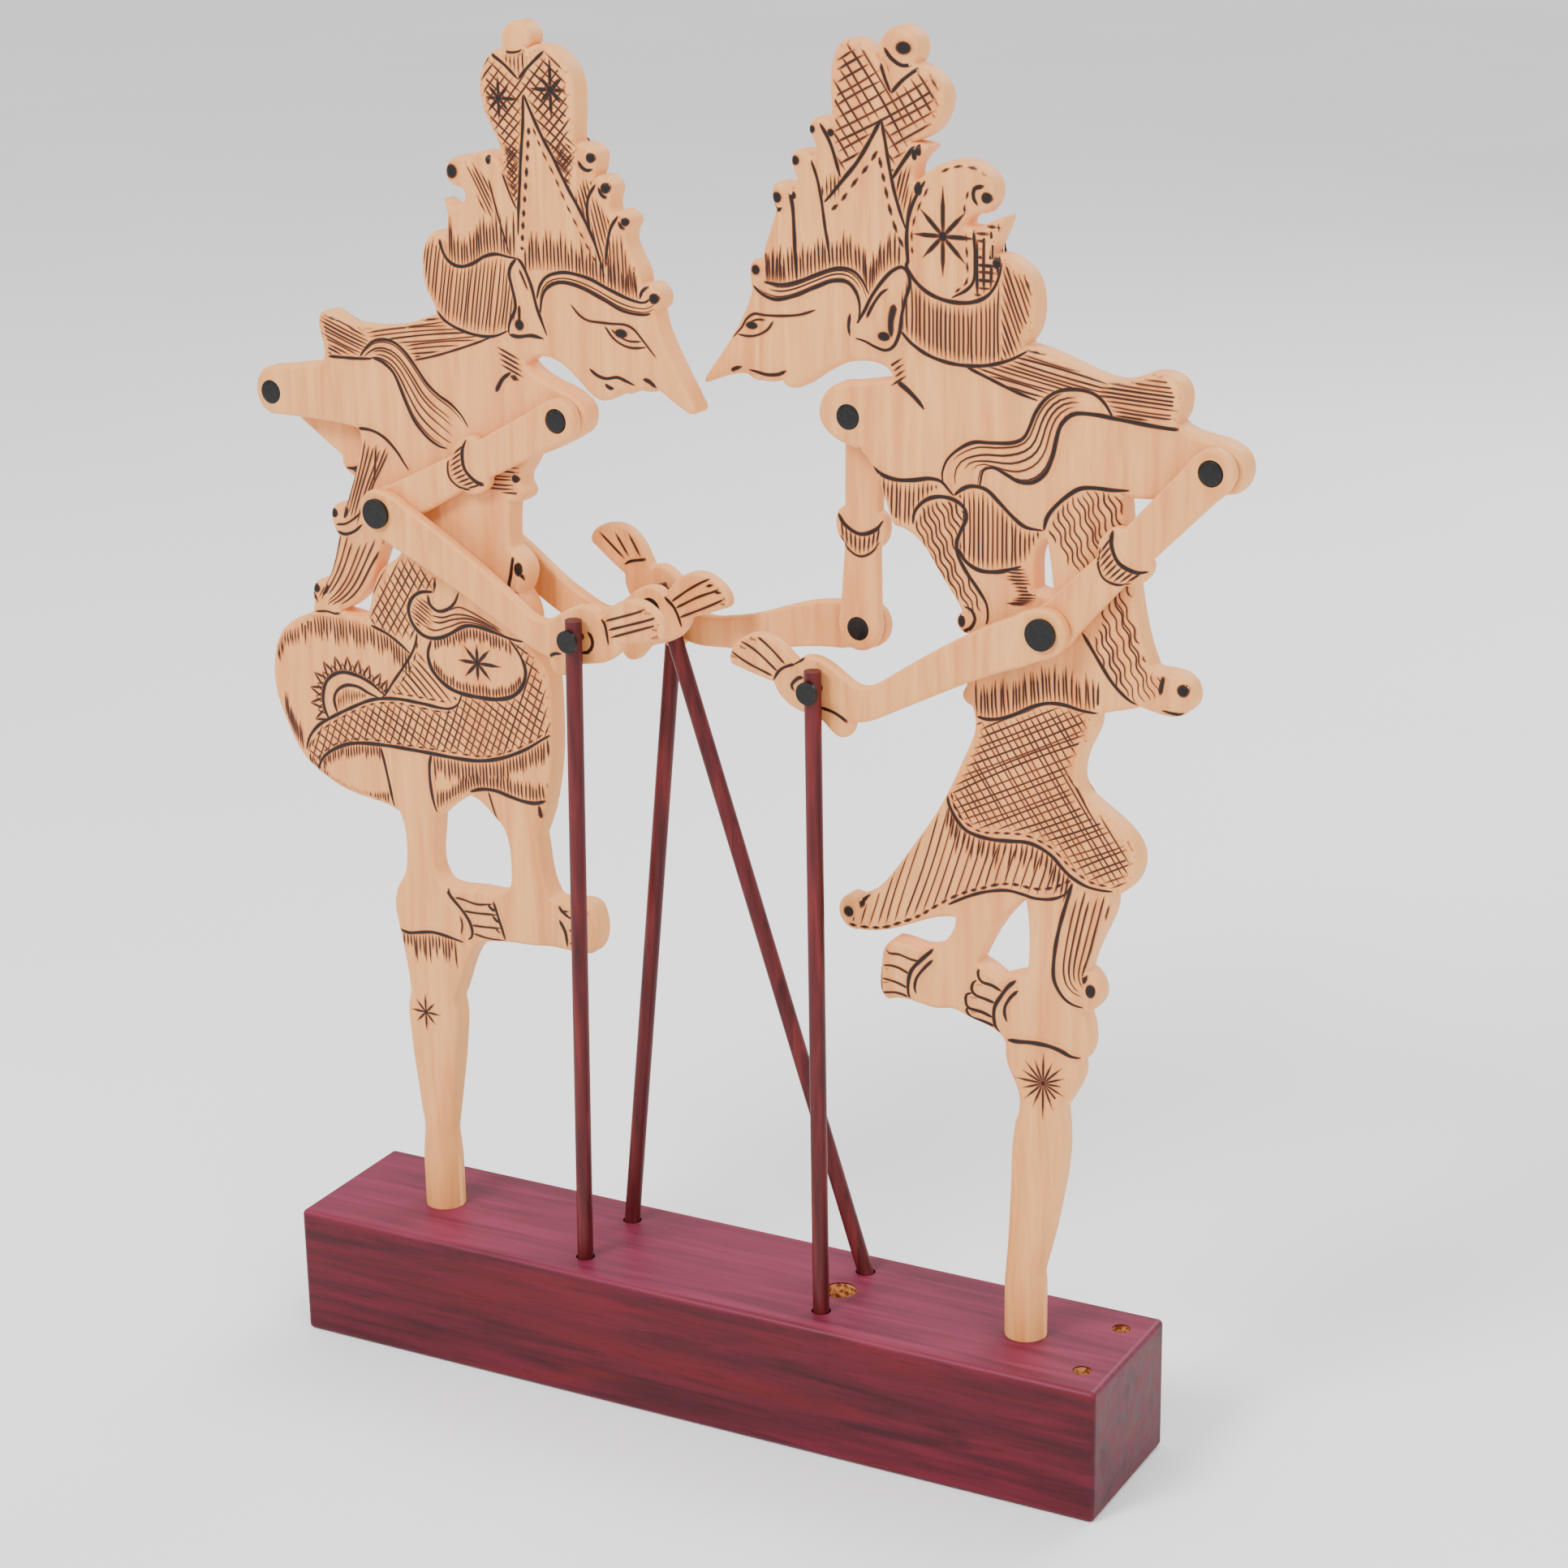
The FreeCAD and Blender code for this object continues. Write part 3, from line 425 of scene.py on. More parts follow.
class Pen:
    """Collects the burned lines and dots of one board or arm, in its own plane.

    The first argument of each kind of line is its width.
    """

    def __init__(self, origin=(0, 0), along=(1, 0), up=(0, 1)):
        self.origin, self.along, self.up = map(np.array, (origin, along, up))
        self.strokes = []
        self.dots = []

    def placed(self, points):
        points = np.asarray(points, float)
        return self.origin + points[:, :1] * self.along + points[:, 1:] * self.up

    def stroke(self, width, points, start=0.5, end=0.35, dark=1.0):
        """A line through these very points, with the given shares of its width at its ends."""
        share = np.linspace(0, 1, len(points))
        size = np.minimum(1, np.minimum(start + share * 5, end + (1 - share) * 3))
        size = size * (1 + 0.10 * np.sin(share * len(points) * random.uniform(0.5, 0.9)))
        self.strokes.append((self.placed(points), width * size, dark * random.uniform(0.9, 1.0)))

    def line(self, width, *points):
        self.stroke(width, curve(points))

    def lines(self, width, *lines):
        for points in lines:
            self.line(width, *points)

    def dash(self, width, on, off, *points):
        path = Path(points)
        start = 0.3
        while start < path.length:
            stop = min(start + on * random.uniform(0.8, 1.2), path.length)
            self.stroke(width, path.at(np.linspace(start, stop, 3)), 0.7, 0.6)
            start = stop + off * random.uniform(0.8, 1.2)

    def hatch(self, width, angle, pitch, *region, wave=0.0):
        """Parallel lines at an angle, a pitch apart, across a region given by its corners."""
        region = np.array(region, float)
        along = direction(angle)
        across = left_of(along)
        reach = region @ across
        offset = reach.min() + pitch * 0.5
        while offset < reach.max():
            side = reach - offset
            cuts = []
            for k in range(len(region)):
                a, b = side[k - 1], side[k]
                if (a > 0) != (b > 0):
                    cuts.append(float((region[k - 1] + (region[k] - region[k - 1]) * a / (a - b)) @ along))
            cuts.sort()
            for low, high in zip(cuts[::2], cuts[1::2]):
                low += random.uniform(-0.3, 0.7)
                high -= random.uniform(-0.3, 0.7)
                if high - low > 0.9:
                    steps = np.linspace(low, high, max(3, int((high - low) / (1.0 if wave else 3.0)) + 2))
                    bow = random.uniform(-0.05, 0.05) * np.sin(np.linspace(0, math.pi, len(steps)))
                    bow = bow * (high - low) * 0.4 + wave * np.sin(steps * 1.1 + offset * 0.5)
                    self.stroke(width, steps[:, None] * along + (offset + bow)[:, None] * across,
                                0.6, 0.4, random.uniform(0.72, 1.0))
            offset += pitch * random.uniform(0.91, 1.09)

    def cross(self, width, first, second, *region):
        """Two hatches over each other, each given as angle and pitch."""
        for angle, pitch in (first, second):
            self.hatch(width, angle, pitch, *region)

    def comb(self, width, angle, low, high, pitch, *base):
        """Short strokes in one direction from a base line, fading at their far ends."""
        path = Path(base)
        spot = pitch * 0.4
        while spot < path.length:
            root = path.at(spot)
            tip = direction(angle + random.uniform(-3, 3)) * random.uniform(low, high)
            side = left_of(tip) * random.uniform(-0.02, 0.02)
            stroke = [root, root + tip * 0.35 + side, root + tip * 0.7 + side, root + tip]
            self.stroke(width, np.array(stroke), 0.9, 0.3, random.uniform(0.85, 1.0))
            spot += pitch * random.uniform(0.9, 1.1)

    def flow(self, width, count, first, second):
        """Lines that run between two curves."""
        share = np.linspace(0, 1, FLOW_POINTS)
        one, two = (path.at(share * path.length) for path in (Path(first, 0.6), Path(second, 0.6)))
        for k in range(count):
            mix = (k + 0.5) / count + random.uniform(-0.2, 0.2) / count
            low = random.randrange(0, 3)
            high = FLOW_POINTS - random.randrange(0, 4)
            self.stroke(width, (one * (1 - mix) + two * mix)[low:high], 0.4, 0.3,
                        random.uniform(0.75, 1.0))

    def star(self, x, z, width, lengths):
        """Rays from a dark middle, the first one upward, then clockwise."""
        for k, length in enumerate(lengths):
            ray = direction(90 - 360 * k / len(lengths))
            self.stroke(width, np.array([(x, z) + ray * length * s for s in (0.02, 0.3, 0.6, 1.0)]),
                        1.0, 0.12)
        self.eye(x, z, width * 1.4)

    def zigzag(self, width, height, count, shift, *base):
        """Pointed waves on the left side of a base line."""
        path = Path(base)
        spots = (np.arange(2 * count + 1) / 2 + shift) / count * path.length
        spots = np.clip(spots, 0, path.length - 0.6)
        spot = path.at(spots)
        spot[1::2] += left_sides(path.at(spots + 0.5) - spot)[1::2] * height
        for one, two in zip(spot[:-1], spot[1:]):
            self.stroke(width, curve((one, two)), 0.7, 0.7)

    def eye(self, x, z, rx, rz=None):
        """A dark round or oval dot."""
        around = np.linspace(0, 2 * math.pi, 13)[:-1]
        ring = np.stack([np.cos(around) * rx, np.sin(around) * (rz or rx)], axis=1)
        self.dots.append((self.placed([(x, z)])[0], self.placed(ring) - self.origin))


def into_wood(spot, room, loops, step=0.1):
    """The nearest place to a spot that has that much wood all round it, as far as there is one."""
    spot = np.array(spot, float)
    for _ in range(12):
        here, right, above = distance(spot + np.array([(0, 0), (step, 0), (0, step)]), loops)
        if here >= room:
            break
        slope = np.array([right - here, above - here]) / step
        spot = spot + slope * min(room - here, 1.0) / max(float(np.hypot(*slope)), 0.3)
    return spot


def runs_inside(gap):
    """Start and stop of each part of a line that is on the wood."""
    good = gap > OUTLINE_GAP
    for start in range(len(good)):
        if good[start] and not (start and good[start - 1]):
            stop = start
            while stop < len(good) and good[stop]:
                stop += 1
            if stop - start >= 2:
                yield start, stop


def shades(size, gap):
    """Offsets across a line and how dark it is there; a wide line has a scorched fringe."""
    wide = float(size.max()) >= WIDE_LINE
    half = np.minimum(size * (0.72 if wide else 0.85) + 0.10, gap - 0.12)[:, None]
    if not wide:
        return (half * -1, 0), (half * 0, 1), (half, 0)
    fringe = np.minimum(size * 0.9 + 0.8, gap - 0.1)[:, None]
    return ((-fringe, 0), (half * -1, 0.14), (half * -0.5, 0.8), (half * 0, 1), (half * 0.5, 0.8),
            (half, 0.14), (fringe, 0))


class Burn:
    """A flat sheet of burned lines and dots: places, how dark each is, and faces."""

    def __init__(self):
        self.places, self.dark, self.faces = [], [], []

    def strip(self, path, size, strength, gap):
        side = left_sides(np.gradient(path, axis=0))
        base, count = len(self.places), len(path)
        tips = np.ones(count)
        tips[0] = tips[-1] = TIP_DARK
        rows = shades(size, gap)
        for offset, shade in rows:
            self.places += [tuple(spot) for spot in path + side * offset]
            self.dark += (shade * strength * tips).tolist()
        for row in range(base, base + (len(rows) - 1) * count, count):
            self.faces += [(a, a + 1, a + count + 1, a + count) for a in range(row, row + count - 1)]

    def dot(self, centre, spokes, loops):
        """A dark dot in rings, moved and shrunk as far as the wood round it asks for."""
        radius = float(np.hypot(*spokes.T).max())
        centre = into_wood(centre, radius + DOT_ROOM, loops)
        reach = (float(distance(np.array([centre]), loops)[0]) - 0.1) / radius
        base, count = len(self.places), len(spokes)
        self.places.append(tuple(centre))
        self.dark.append(1.0)
        for size, shade in DOT_SHADES:
            self.places += [tuple(centre + spoke * min(size, reach)) for spoke in spokes]
            self.dark += [shade] * count
        for k in range(count):
            ahead = (k + 1) % count
            self.faces.append((base, base + 1 + ahead, base + 1 + k))
            for ring in range(base + 1, base + 1 + (len(DOT_SHADES) - 1) * count, count):
                self.faces.append((ring + k, ring + ahead, ring + count + ahead, ring + count + k))


def burn(name, figure, pen, loops, depth_of, middle, sign, body, material):
    """Lay the pen's lines and dots on one face of a board or arm: sign -1 is the front."""
    sheet = Burn()
    gaps = distance(np.concatenate([path for path, _, _ in pen.strokes]), loops)
    first = 0
    for path, size, strength in pen.strokes:
        gap = gaps[first:first + len(path)]
        first += len(path)
        for start, stop in runs_inside(gap):
            sheet.strip(path[start:stop], size[start:stop], strength, gap[start:stop])
    for centre, spokes in pen.dots:
        sheet.dot(centre, spokes, loops)
    places = np.array(sheet.places)
    lift = LIFT_EDGE + (LIFT - LIFT_EDGE) * np.array(sheet.dark)
    depth = middle + sign * (depth_of(places, np.maximum(distance(places, loops), 0)) + lift)
    verts = [(x, y, z) for (x, z), y in zip(places, depth)]
    # In x and z a face runs anticlockwise on the front and clockwise on the back.
    faces = [face[::-1] if clockwise(places[list(face[:3])]) == (sign < 0) else face
             for face in sheet.faces]
    piece = new_piece(name, figure, verts, faces, material, {"burn": sheet.dark})
    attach(piece, body)


# ---------------------------------------------------------------------------- left figure's drawing

def left_crown(p):
    p.line(.6, (41.2, 390), (43.5, 388.9), (46.5, 389), (49.5, 390), (52.5, 391.8))
    p.line(.7, (38, 388.2), (42, 385.8), (45, 383.4), (46.8, 381.8))
    p.line(.7, (46.8, 381.8), (49.5, 384.6), (53, 387.6), (56.5, 390.4))
    p.hatch(.45, 90, 1.3, (39, 389), (46.5, 389.2), (52.5, 392), (57, 392), (46.8, 382.2))
    p.cross(.5, (-38, 2.3), (48, 2.3), (31, 376), (32, 388), (38, 388.2), (46.8, 381.6), (56.5, 390.4),
            (60, 392), (67, 384), (67, 372), (64, 360), (62.2, 352.5), (54, 367), (48.3, 379),
            (46.9, 364), (45.2, 347.5), (40, 358), (37, 364))
    p.star(40, 376.5, .7, (6, 5, 7, 5, 6, 5, 7, 5))
    p.star(57.3, 379.6, .8, (9, 5, 8, 5, 8, 5, 7, 5))
    p.cross(.5, (-38, 1.3), (48, 1.3), (56.5, 364), (64, 368), (64.5, 362), (62.2, 353))
    p.cross(.5, (-38, 1.3), (48, 1.3), (39.5, 364.5), (46.8, 364), (45.4, 350), (44, 348), (40.5, 357))
    p.line(.8, (48.2, 377.8), (47.8, 370), (46.8, 362), (46, 354), (45.2, 346), (44.8, 340))
    p.dash(.9, 2.2, 1.7, (49.8, 369.5), (49.2, 364), (48.4, 357), (47.5, 350), (46.6, 343), (45.9, 336))
    p.line(.8, (48.4, 378), (50.5, 373.5), (54, 367), (57.5, 361.5), (61.5, 354.5), (66, 347.5),
           (70, 340), (73, 331))
    p.dash(.5, 2.5, 1.2, (51, 369.5), (54, 363), (57.5, 357), (61, 350), (65, 343), (69, 336.5),
           (71, 334))
    p.line(.55, (35.5, 354.5), (38.5, 344), (41.8, 334))
    p.line(.6, (40.2, 356.5), (43, 350), (44.8, 346.8))


def left_flames(p):
    p.eye(71, 362.5, 1.3)
    p.eye(77, 356.3, 1.4)
    p.eye(83.6, 347.2, 1.1)
    p.line(.8, (65.6, 361.4), (66.6, 359.8), (68.4, 359), (70, 359.4))
    p.line(.8, (71.8, 354.8), (72.8, 352.9), (74.4, 352.1), (76, 352.6))
    p.line(.8, (78, 346.2), (79, 344.6), (80.8, 343.9), (82.2, 344.4))
    p.line(.7, (71, 355.5), (68.6, 352), (68, 347.5), (69, 341.5))
    p.line(.7, (78, 347.6), (75.4, 344), (74, 338.5), (73.4, 333.5))
    p.hatch(.45, 105, 1.2, (63.5, 352), (67.5, 357), (70, 356), (68.3, 348), (69.2, 342), (66, 347))
    p.hatch(.45, 105, 1.1, (69, 353), (73, 350), (75.5, 345), (73.6, 338), (72.8, 331), (70, 339),
            (69, 346))
    p.hatch(.45, 92, 1.25, (74.8, 343), (80, 342), (84, 338), (86, 330), (85, 326.2), (74.5, 328),
            (73.8, 335))
    p.comb(.5, 90, 6.5, 11.5, 1.2, (46.5, 330), (50, 331), (56, 331.2), (60, 331), (66, 330.2),
           (72, 328.3), (78, 326.5), (84, 325.2))
    p.eye(23, 355.8, 1.9)
    p.line(.8, (25.5, 351.4), (27.2, 352.2))
    p.eye(35.7, 360, .8, 1.2)
    p.hatch(.45, 120, 1.1, (27, 360), (31, 359), (36, 352), (37, 343), (33, 346), (30, 353))
    p.line(.6, (20, 349), (19.8, 345), (22, 342.5))


def left_bun(p):
    top = ((19, 345), (17.8, 338), (19, 333), (21.5, 330.5), (25, 329.8), (29, 331), (33, 333.2),
           (37, 334.2), (41.5, 333.7), (44, 333.6))
    p.line(.8, *top)
    p.comb(.5, 90, 6, 13, 1.1, *top[2:])
    p.hatch(.45, 80, 1.3, (11, 334), (17, 338), (20, 332), (25, 330), (33, 333), (40, 333.5), (42, 325),
            (43, 318), (40.5, 313), (33, 311.3), (25, 311.8), (18, 315), (13, 322))
    p.line(.7, (15.8, 316.8), (18, 314.5), (22, 312.6), (27, 311.4), (32, 311), (36, 311.6), (40, 313.3))
    p.line(.8, (44, 333.6), (42, 331.5), (41.2, 329), (42, 325.5), (42.9, 321.5), (42.6, 319),
           (41, 316.3), (40.3, 314), (40.4, 312.3))
    p.line(.8, (40.4, 312.3), (43.5, 312), (48, 312.7), (52, 312.2))
    p.line(.8, (44, 333.8), (46, 331.8), (48.5, 326.5), (50, 321), (51.6, 317), (53.2, 313.2))
    p.line(.6, (44.6, 330.8), (46, 328), (47.4, 325))
    p.line(.7, (44.2, 320.8), (44.1, 318), (44, 315.3))
    p.eye(44, 315.3, 1.5)


def left_face(p):
    upper = ((50.2, 323), (51.5, 326.8), (54, 329.5), (58, 330.8), (62, 331), (68, 330), (74, 327.8),
             (80, 325.8), (85, 325), (87.6, 326.2))
    lower = ((51.2, 319), (52, 323.5), (54, 326.4), (57.5, 328), (62, 328), (67, 326.7), (73, 324.4),
             (78, 322.4), (83, 321.7), (87.5, 322.2), (90.6, 324.4))
    p.line(.7, *upper)
    p.line(.7, *lower)
    p.flow(.35, 3, upper, lower)
    p.eye(88.8, 326.3, 1.4)
    p.line(.7, (84.2, 325.8), (85, 328), (87, 329.4), (89.6, 330.3))
    p.line(.6, (61.5, 322.5), (64, 320), (67, 318.6), (71, 318.4), (75, 318.4), (79, 318.5), (82, 317.5),
           (85, 314.6), (89, 310.4))
    p.line(.6, (72.5, 317.6), (75, 314.7), (78, 313), (81.5, 312.4), (86, 313))
    p.line(.5, (74.5, 317), (76.5, 315.6), (80, 314.2), (84.5, 314.4))
    p.eye(77.8, 316, 2, 1.2)
    p.line(.7, (67, 305.4), (69.5, 303.8), (72.5, 303.2), (76, 303.9), (78.5, 303.3), (81.8, 302.2))
    p.line(.8, (72, 301.7), (73.4, 300.8), (75, 300.7))
    p.line(.9, (84.5, 304.2), (86.5, 303.8), (88.8, 302.2))
    for k in range(4):
        p.line(.5, (36 + k * .4, 308.5 - k * 1.6), (43.5 + k * .4, 305.6 - k * 1.6))
    p.line(1.0, (35, 295.8), (37.5, 299.6), (40.5, 301.8))
    p.line(1.3, (40.2, 300.8), (43, 299.9))


def left_shawl(p):
    p.hatch(.5, -18, 1.1, (-27, 311), (-22, 313.4), (-12, 310.5), (-8, 305.2), (-12, 301.2),
            (-24, 300.8), (-26.6, 304))
    p.hatch(.45, 9, 1.1, (-8, 305.2), (-12, 310.5), (4, 311.8), (15, 316.2), (20, 312.8), (33, 311),
            (20, 306.8), (7, 302.4), (3, 306), (-4, 307))
    p.line(.7, (-24, 300.2), (-14, 300.5), (-8, 301))
    p.line(.55, (7, 302), (14, 303.8), (22, 306.4), (30, 309.3), (36, 311.8))
    outer = ((-12.5, 301.2), (-10, 304), (-7, 306.2), (-3, 306.9), (.5, 306.2), (4, 303.8), (7.5, 300),
             (11, 295.8), (15, 292.8), (19, 290.8), (22.5, 288), (24.8, 284.8))
    inner = ((-8, 301.2), (-4.5, 300.4), (-1, 298), (1, 294.6), (3.2, 289.5), (6, 284.5), (10, 280.5),
             (14, 278.3), (17, 277.8))
    p.line(.7, *outer)
    p.line(.8, *inner)
    p.flow(.5, 6, outer, inner)


def left_tail(p):
    p.line(.7, (-16.5, 280.2), (-10, 280.2), (-5, 278.4), (-1, 275), (1.2, 272.2), (3, 270))
    p.flow(.6, 7, ((-14.6, 279), (-15.8, 272), (-18, 264), (-21, 256), (-23, 251)),
           ((-2, 276), (-5, 271), (-9.5, 264), (-12, 258), (-14, 252)))
    p.flow(.6, 7, ((-24, 248), (-26.5, 240), (-29.5, 234), (-33, 228)),
           ((-7, 248), (-12, 240), (-17, 232.5), (-22, 228), (-28, 225)))
    p.line(.6, (-8.4, 276), (-9.8, 264.5))
    p.eye(-25.2, 254.2, 1.3)
    p.line(1.0, (-20.9, 258.5), (-20.4, 255.6), (-21.6, 253))
    p.line(.7, (-24.6, 248.8), (-21.5, 248.3), (-18, 249.6), (-15, 252))
    p.line(.6, (-24.8, 250.8), (-21, 251.5), (-17, 254), (-15, 256))
    p.eye(-33.8, 230.8, 1.3)
    p.line(1.0, (-30, 233.8), (-29.5, 231), (-31.4, 228.7))
    p.line(.7, (-34.8, 229.5), (-33.2, 226.3))
    p.line(.6, (-34.5, 223.4), (-30, 224), (-26, 223.8), (-20, 226.5), (-15, 230))
    p.hatch(.45, 3, 1.2, (30, 275), (42, 276.5), (43, 267.5), (40, 267), (28, 268))
    p.eye(43, 271.3, 1.1)
    p.line(.8, (43, 253.3), (39.8, 251.4), (38.6, 249), (37.6, 244), (37, 239.4), (42.8, 238),
           (46, 240.8))
    p.comb(.5, -90, 3, 5, 1.2, (39.5, 250.8), (43.8, 249.5))
    p.comb(.5, -90, 3, 4.5, 1.2, (37.6, 238.8), (43, 237.6))
    p.eye(44.6, 246.8, 1.4, 2)
    p.line(.8, (41, 245), (41.8, 242.6), (44, 241.3))


def left_waist(p):
    p.cross(.5, (58, 2.4), (-55, 2.4), (-14.5, 236), (-8, 241), (-2, 243.5), (2, 244), (10.6, 239.2),
            (10, 235), (5.5, 234.6), (1.5, 232.2), (.3, 229), (1, 225.6), (3.2, 222.3), (.5, 219.2),
            (-5, 219.2), (-10, 220.5), (-14, 222.5), (-14.6, 228))
    p.line(.8, (10.6, 239.5), (9.9, 235))
    p.line(.8, (7.6, 234), (8.2, 231.2), (11, 229.6), (14.5, 230.6), (17.2, 233), (18.8, 236.2))
    p.line(.9, (9.6, 235.1), (5, 234.4), (1.8, 232.2), (.3, 228.8), (1.2, 225.2), (3.6, 222.5),
           (7, 221.2), (11, 221.6), (15, 223.4), (19, 225.8), (22, 226.8), (26, 226.8), (31, 226),
           (36, 225), (41, 224.6))
    p.flow(.5, 4, ((10, 230.3), (15, 231.2), (19, 232.6), (23, 231.5), (29, 229), (36, 226)),
           ((3, 225), (8, 222.6), (14, 224.4), (20, 227.2), (28, 227.2), (36, 225.3)))
    p.hatch(.45, -30, 1.1, (1.2, 231), (5, 233.4), (9, 231), (9, 224.5), (4, 223.6), (1.2, 226.5))
    p.comb(.5, -90, 5, 9, 1.25, (-50, 213), (-47, 217.5), (-42, 220), (-36, 222), (-28, 222.6),
           (-20, 222.2), (-14, 221.6), (-8, 220), (-3, 217.6), (0, 215.3))
    p.line(.7, (-14, 222), (-8, 220.2), (-3, 217.5), (.3, 215.2))
    p.line(.7, (3, 222), (2.2, 218.5), (.2, 214.8), (-3, 210.5), (-7, 205.5), (-9.5, 202),
           (-11.5, 200.2))
    p.comb(.5, 90, 6, 8, 1.25, (-48, 190), (-45.5, 184), (-42, 179.5))


def left_sunburst(p):
    outer = ((-31.7, 190.6), (-33.2, 194), (-33.4, 198), (-32, 202), (-29, 204.8), (-25, 206.1),
             (-20, 205.8), (-15, 204.2), (-11.5, 202), (-9.5, 201))
    p.line(.9, *outer)
    p.line(.8, (-28.4, 193.2), (-29.3, 197), (-28, 200), (-24.5, 202.2), (-20, 202.4), (-16, 201),
           (-12.5, 200.2))
    p.zigzag(.6, 5, 11, 0, *outer)
    p.zigzag(.55, 2.8, 11, .5, *outer)
    p.hatch(.45, 88, 1.0, (-28.5, 198), (-25, 201.6), (-19, 201.6), (-15, 200.2), (-24, 196), (-28, 194))


def left_belt(p):
    p.line(.8, (-41, 180), (-39.5, 184), (-36, 188), (-31, 191.2), (-24, 195), (-16, 198.8),
           (-10, 200.3), (-4, 200.9), (4, 200.8), (10, 200.5), (14, 200.9), (17, 203), (18.3, 206))
    p.dash(.5, 2.5, 1.5, (-39, 181), (-37.5, 184), (-34.5, 187), (-30, 190), (-23.5, 193.8),
           (-16, 197.5), (-10, 199), (-4, 199.6), (10, 199.3), (15, 200))
    p.line(.9, (-37.2, 173.8), (-35, 178), (-31, 181.2), (-25, 184), (-18, 185.3), (-8, 185.9), (4, 186),
           (16, 186), (24, 186.6), (32, 188.8), (40, 192.5), (47, 197), (53, 200.5))
    p.dash(.5, 2.5, 1.5, (-37.5, 177), (-34, 180.5), (-28, 184), (-18, 186.6), (4, 187.3), (24, 188),
           (32, 190.2), (40, 193.9), (47, 198.4), (52, 201.4))
    p.cross(.45, (68, 2.2), (-30, 2.4), (-41, 180), (-36, 188), (-24, 195), (-10, 200), (12, 200.2),
            (18, 205.5), (33, 206), (40, 210.5), (41.8, 216), (39, 221), (36, 224.8), (44, 223.5),
            (50, 218), (53, 213), (54, 206), (54, 200.5), (46, 196.5), (36, 190.5), (24, 186.8),
            (0, 186.2), (-18, 185.5), (-31, 181.2), (-37, 174))
    p.hatch(.6, -42, 2.0, (2.5, 217), (6, 213), (8.5, 209.5), (14, 205.6), (17, 203.5), (14, 201.8),
            (-7, 201.6), (-8.5, 203))
    p.dash(.5, 2.5, 1.5, (3.2, 219.5), (.8, 212.5), (-5, 204.5))
    p.dash(.5, 2.5, 1.5, (-6, 202.6), (12, 202.6))


def left_lobe(p):
    p.line(1.0, (8, 220.5), (6.6, 216), (8, 211.5), (12, 208), (17, 206.2), (24, 205.8), (31, 206.2),
           (36.5, 208), (40, 211.5), (41.3, 216), (39.6, 220.5), (36, 224.6))
    p.comb(.5, -90, 3, 5, 1.15, (9, 221), (15, 223.4), (22, 226.2), (30, 225.7), (36, 224.2))
    p.comb(.5, 90, 3, 4, 1.15, (8.5, 211.8), (12, 208.4), (18, 206.6), (24, 206.2), (32, 206.8),
           (37, 208.8), (40, 212))
    p.star(24.3, 216, .8, (5.5, 6.5, 8.5, 6.5, 5.5, 6.5, 7, 6.5))


def left_sarong(p):
    p.line(.9, (19.5, 176.5), (24, 178), (29, 178.3), (34, 177.4), (39, 176.7), (43.5, 177), (48, 179),
           (51.5, 181.8), (54.5, 186))
    p.line(.7, (-12.8, 185), (-11.5, 180), (-10.2, 174), (-9.3, 169.5), (-8.6, 167))
    p.line(.8, (6, 185.8), (5.1, 182), (5.1, 177), (5.8, 172), (7, 168))
    p.comb(.45, -90, 3, 5, 1.1, (-35, 178.4), (-31, 181.4), (-25, 183.8), (-18, 185), (-13, 185.4))
    p.comb(.45, 90, 3, 4, 1.0, (-40, 176), (-36, 172), (-28, 168), (-18, 166.6), (-10, 168))
    p.comb(.5, -90, 5, 8, 1.25, (6.5, 185.6), (16, 185.6), (24, 186.2), (32, 188.2), (40, 192),
           (47, 196.4), (52, 199.5))
    p.comb(.5, 90, 4, 6, 1.25, (7, 169), (12, 172), (19.5, 176.8), (24, 178.2), (29, 178.6), (34, 177.8),
           (39, 177.2), (43.5, 177.5), (48, 179.5), (52, 183))
    p.line(.5, (26.2, 177.8), (27.5, 173.5), (29.2, 168.8))
    p.line(.8, (44.2, 176.5), (44.6, 171.5), (46, 167.8), (47, 167.5))
    p.comb(.5, 90, 3, 5, 1.2, (46.5, 168), (50, 170), (53, 173))


def left_feet(p):
    p.line(.9, (9.6, 146), (9.8, 143.6), (11.6, 141.6), (14.5, 139), (17, 136), (18, 133), (17.6, 131),
           (16.3, 130))
    p.line(.6, (13.7, 137), (14.4, 134.4), (13.8, 131))
    p.line(.6, (12, 142.4), (15, 142.4), (20, 141.8), (26, 142.9))
    p.line(.6, (15, 138.8), (20, 139), (27.4, 139.8))
    p.line(.6, (17.8, 134.8), (23, 135.2), (28.5, 135.8))
    p.line(.6, (18.3, 132.3), (24, 131.8), (29.7, 132))
    p.line(.7, (26.2, 143.8), (28, 138.5), (29.5, 134), (29.8, 131.4), (28, 130.6))
    p.line(.7, (24, 142.8), (25.3, 141.4), (27, 140.9))
    p.line(.7, (25.5, 139.5), (27, 138), (28.6, 137.6))
    p.line(.6, (26, 135.8), (28.6, 134))
    p.line(1.0, (21, 147.8), (24.4, 145.6))
    p.line(.8, (49.2, 147.9), (50.6, 145.6), (53.8, 143.5))
    p.line(.6, (50.6, 145.4), (53.4, 145.6))
    p.line(.8, (49.8, 142.5), (51.8, 139), (52.4, 134.6))
    for height in (144, 140, 136):
        p.line(.6, (53, height), (56, height - .3), (59.4, height + .4))
    p.cross(.6, (40, 1.8), (-45, 1.8), (56.6, 149), (61, 148.6), (60, 145.2), (57, 145.6))


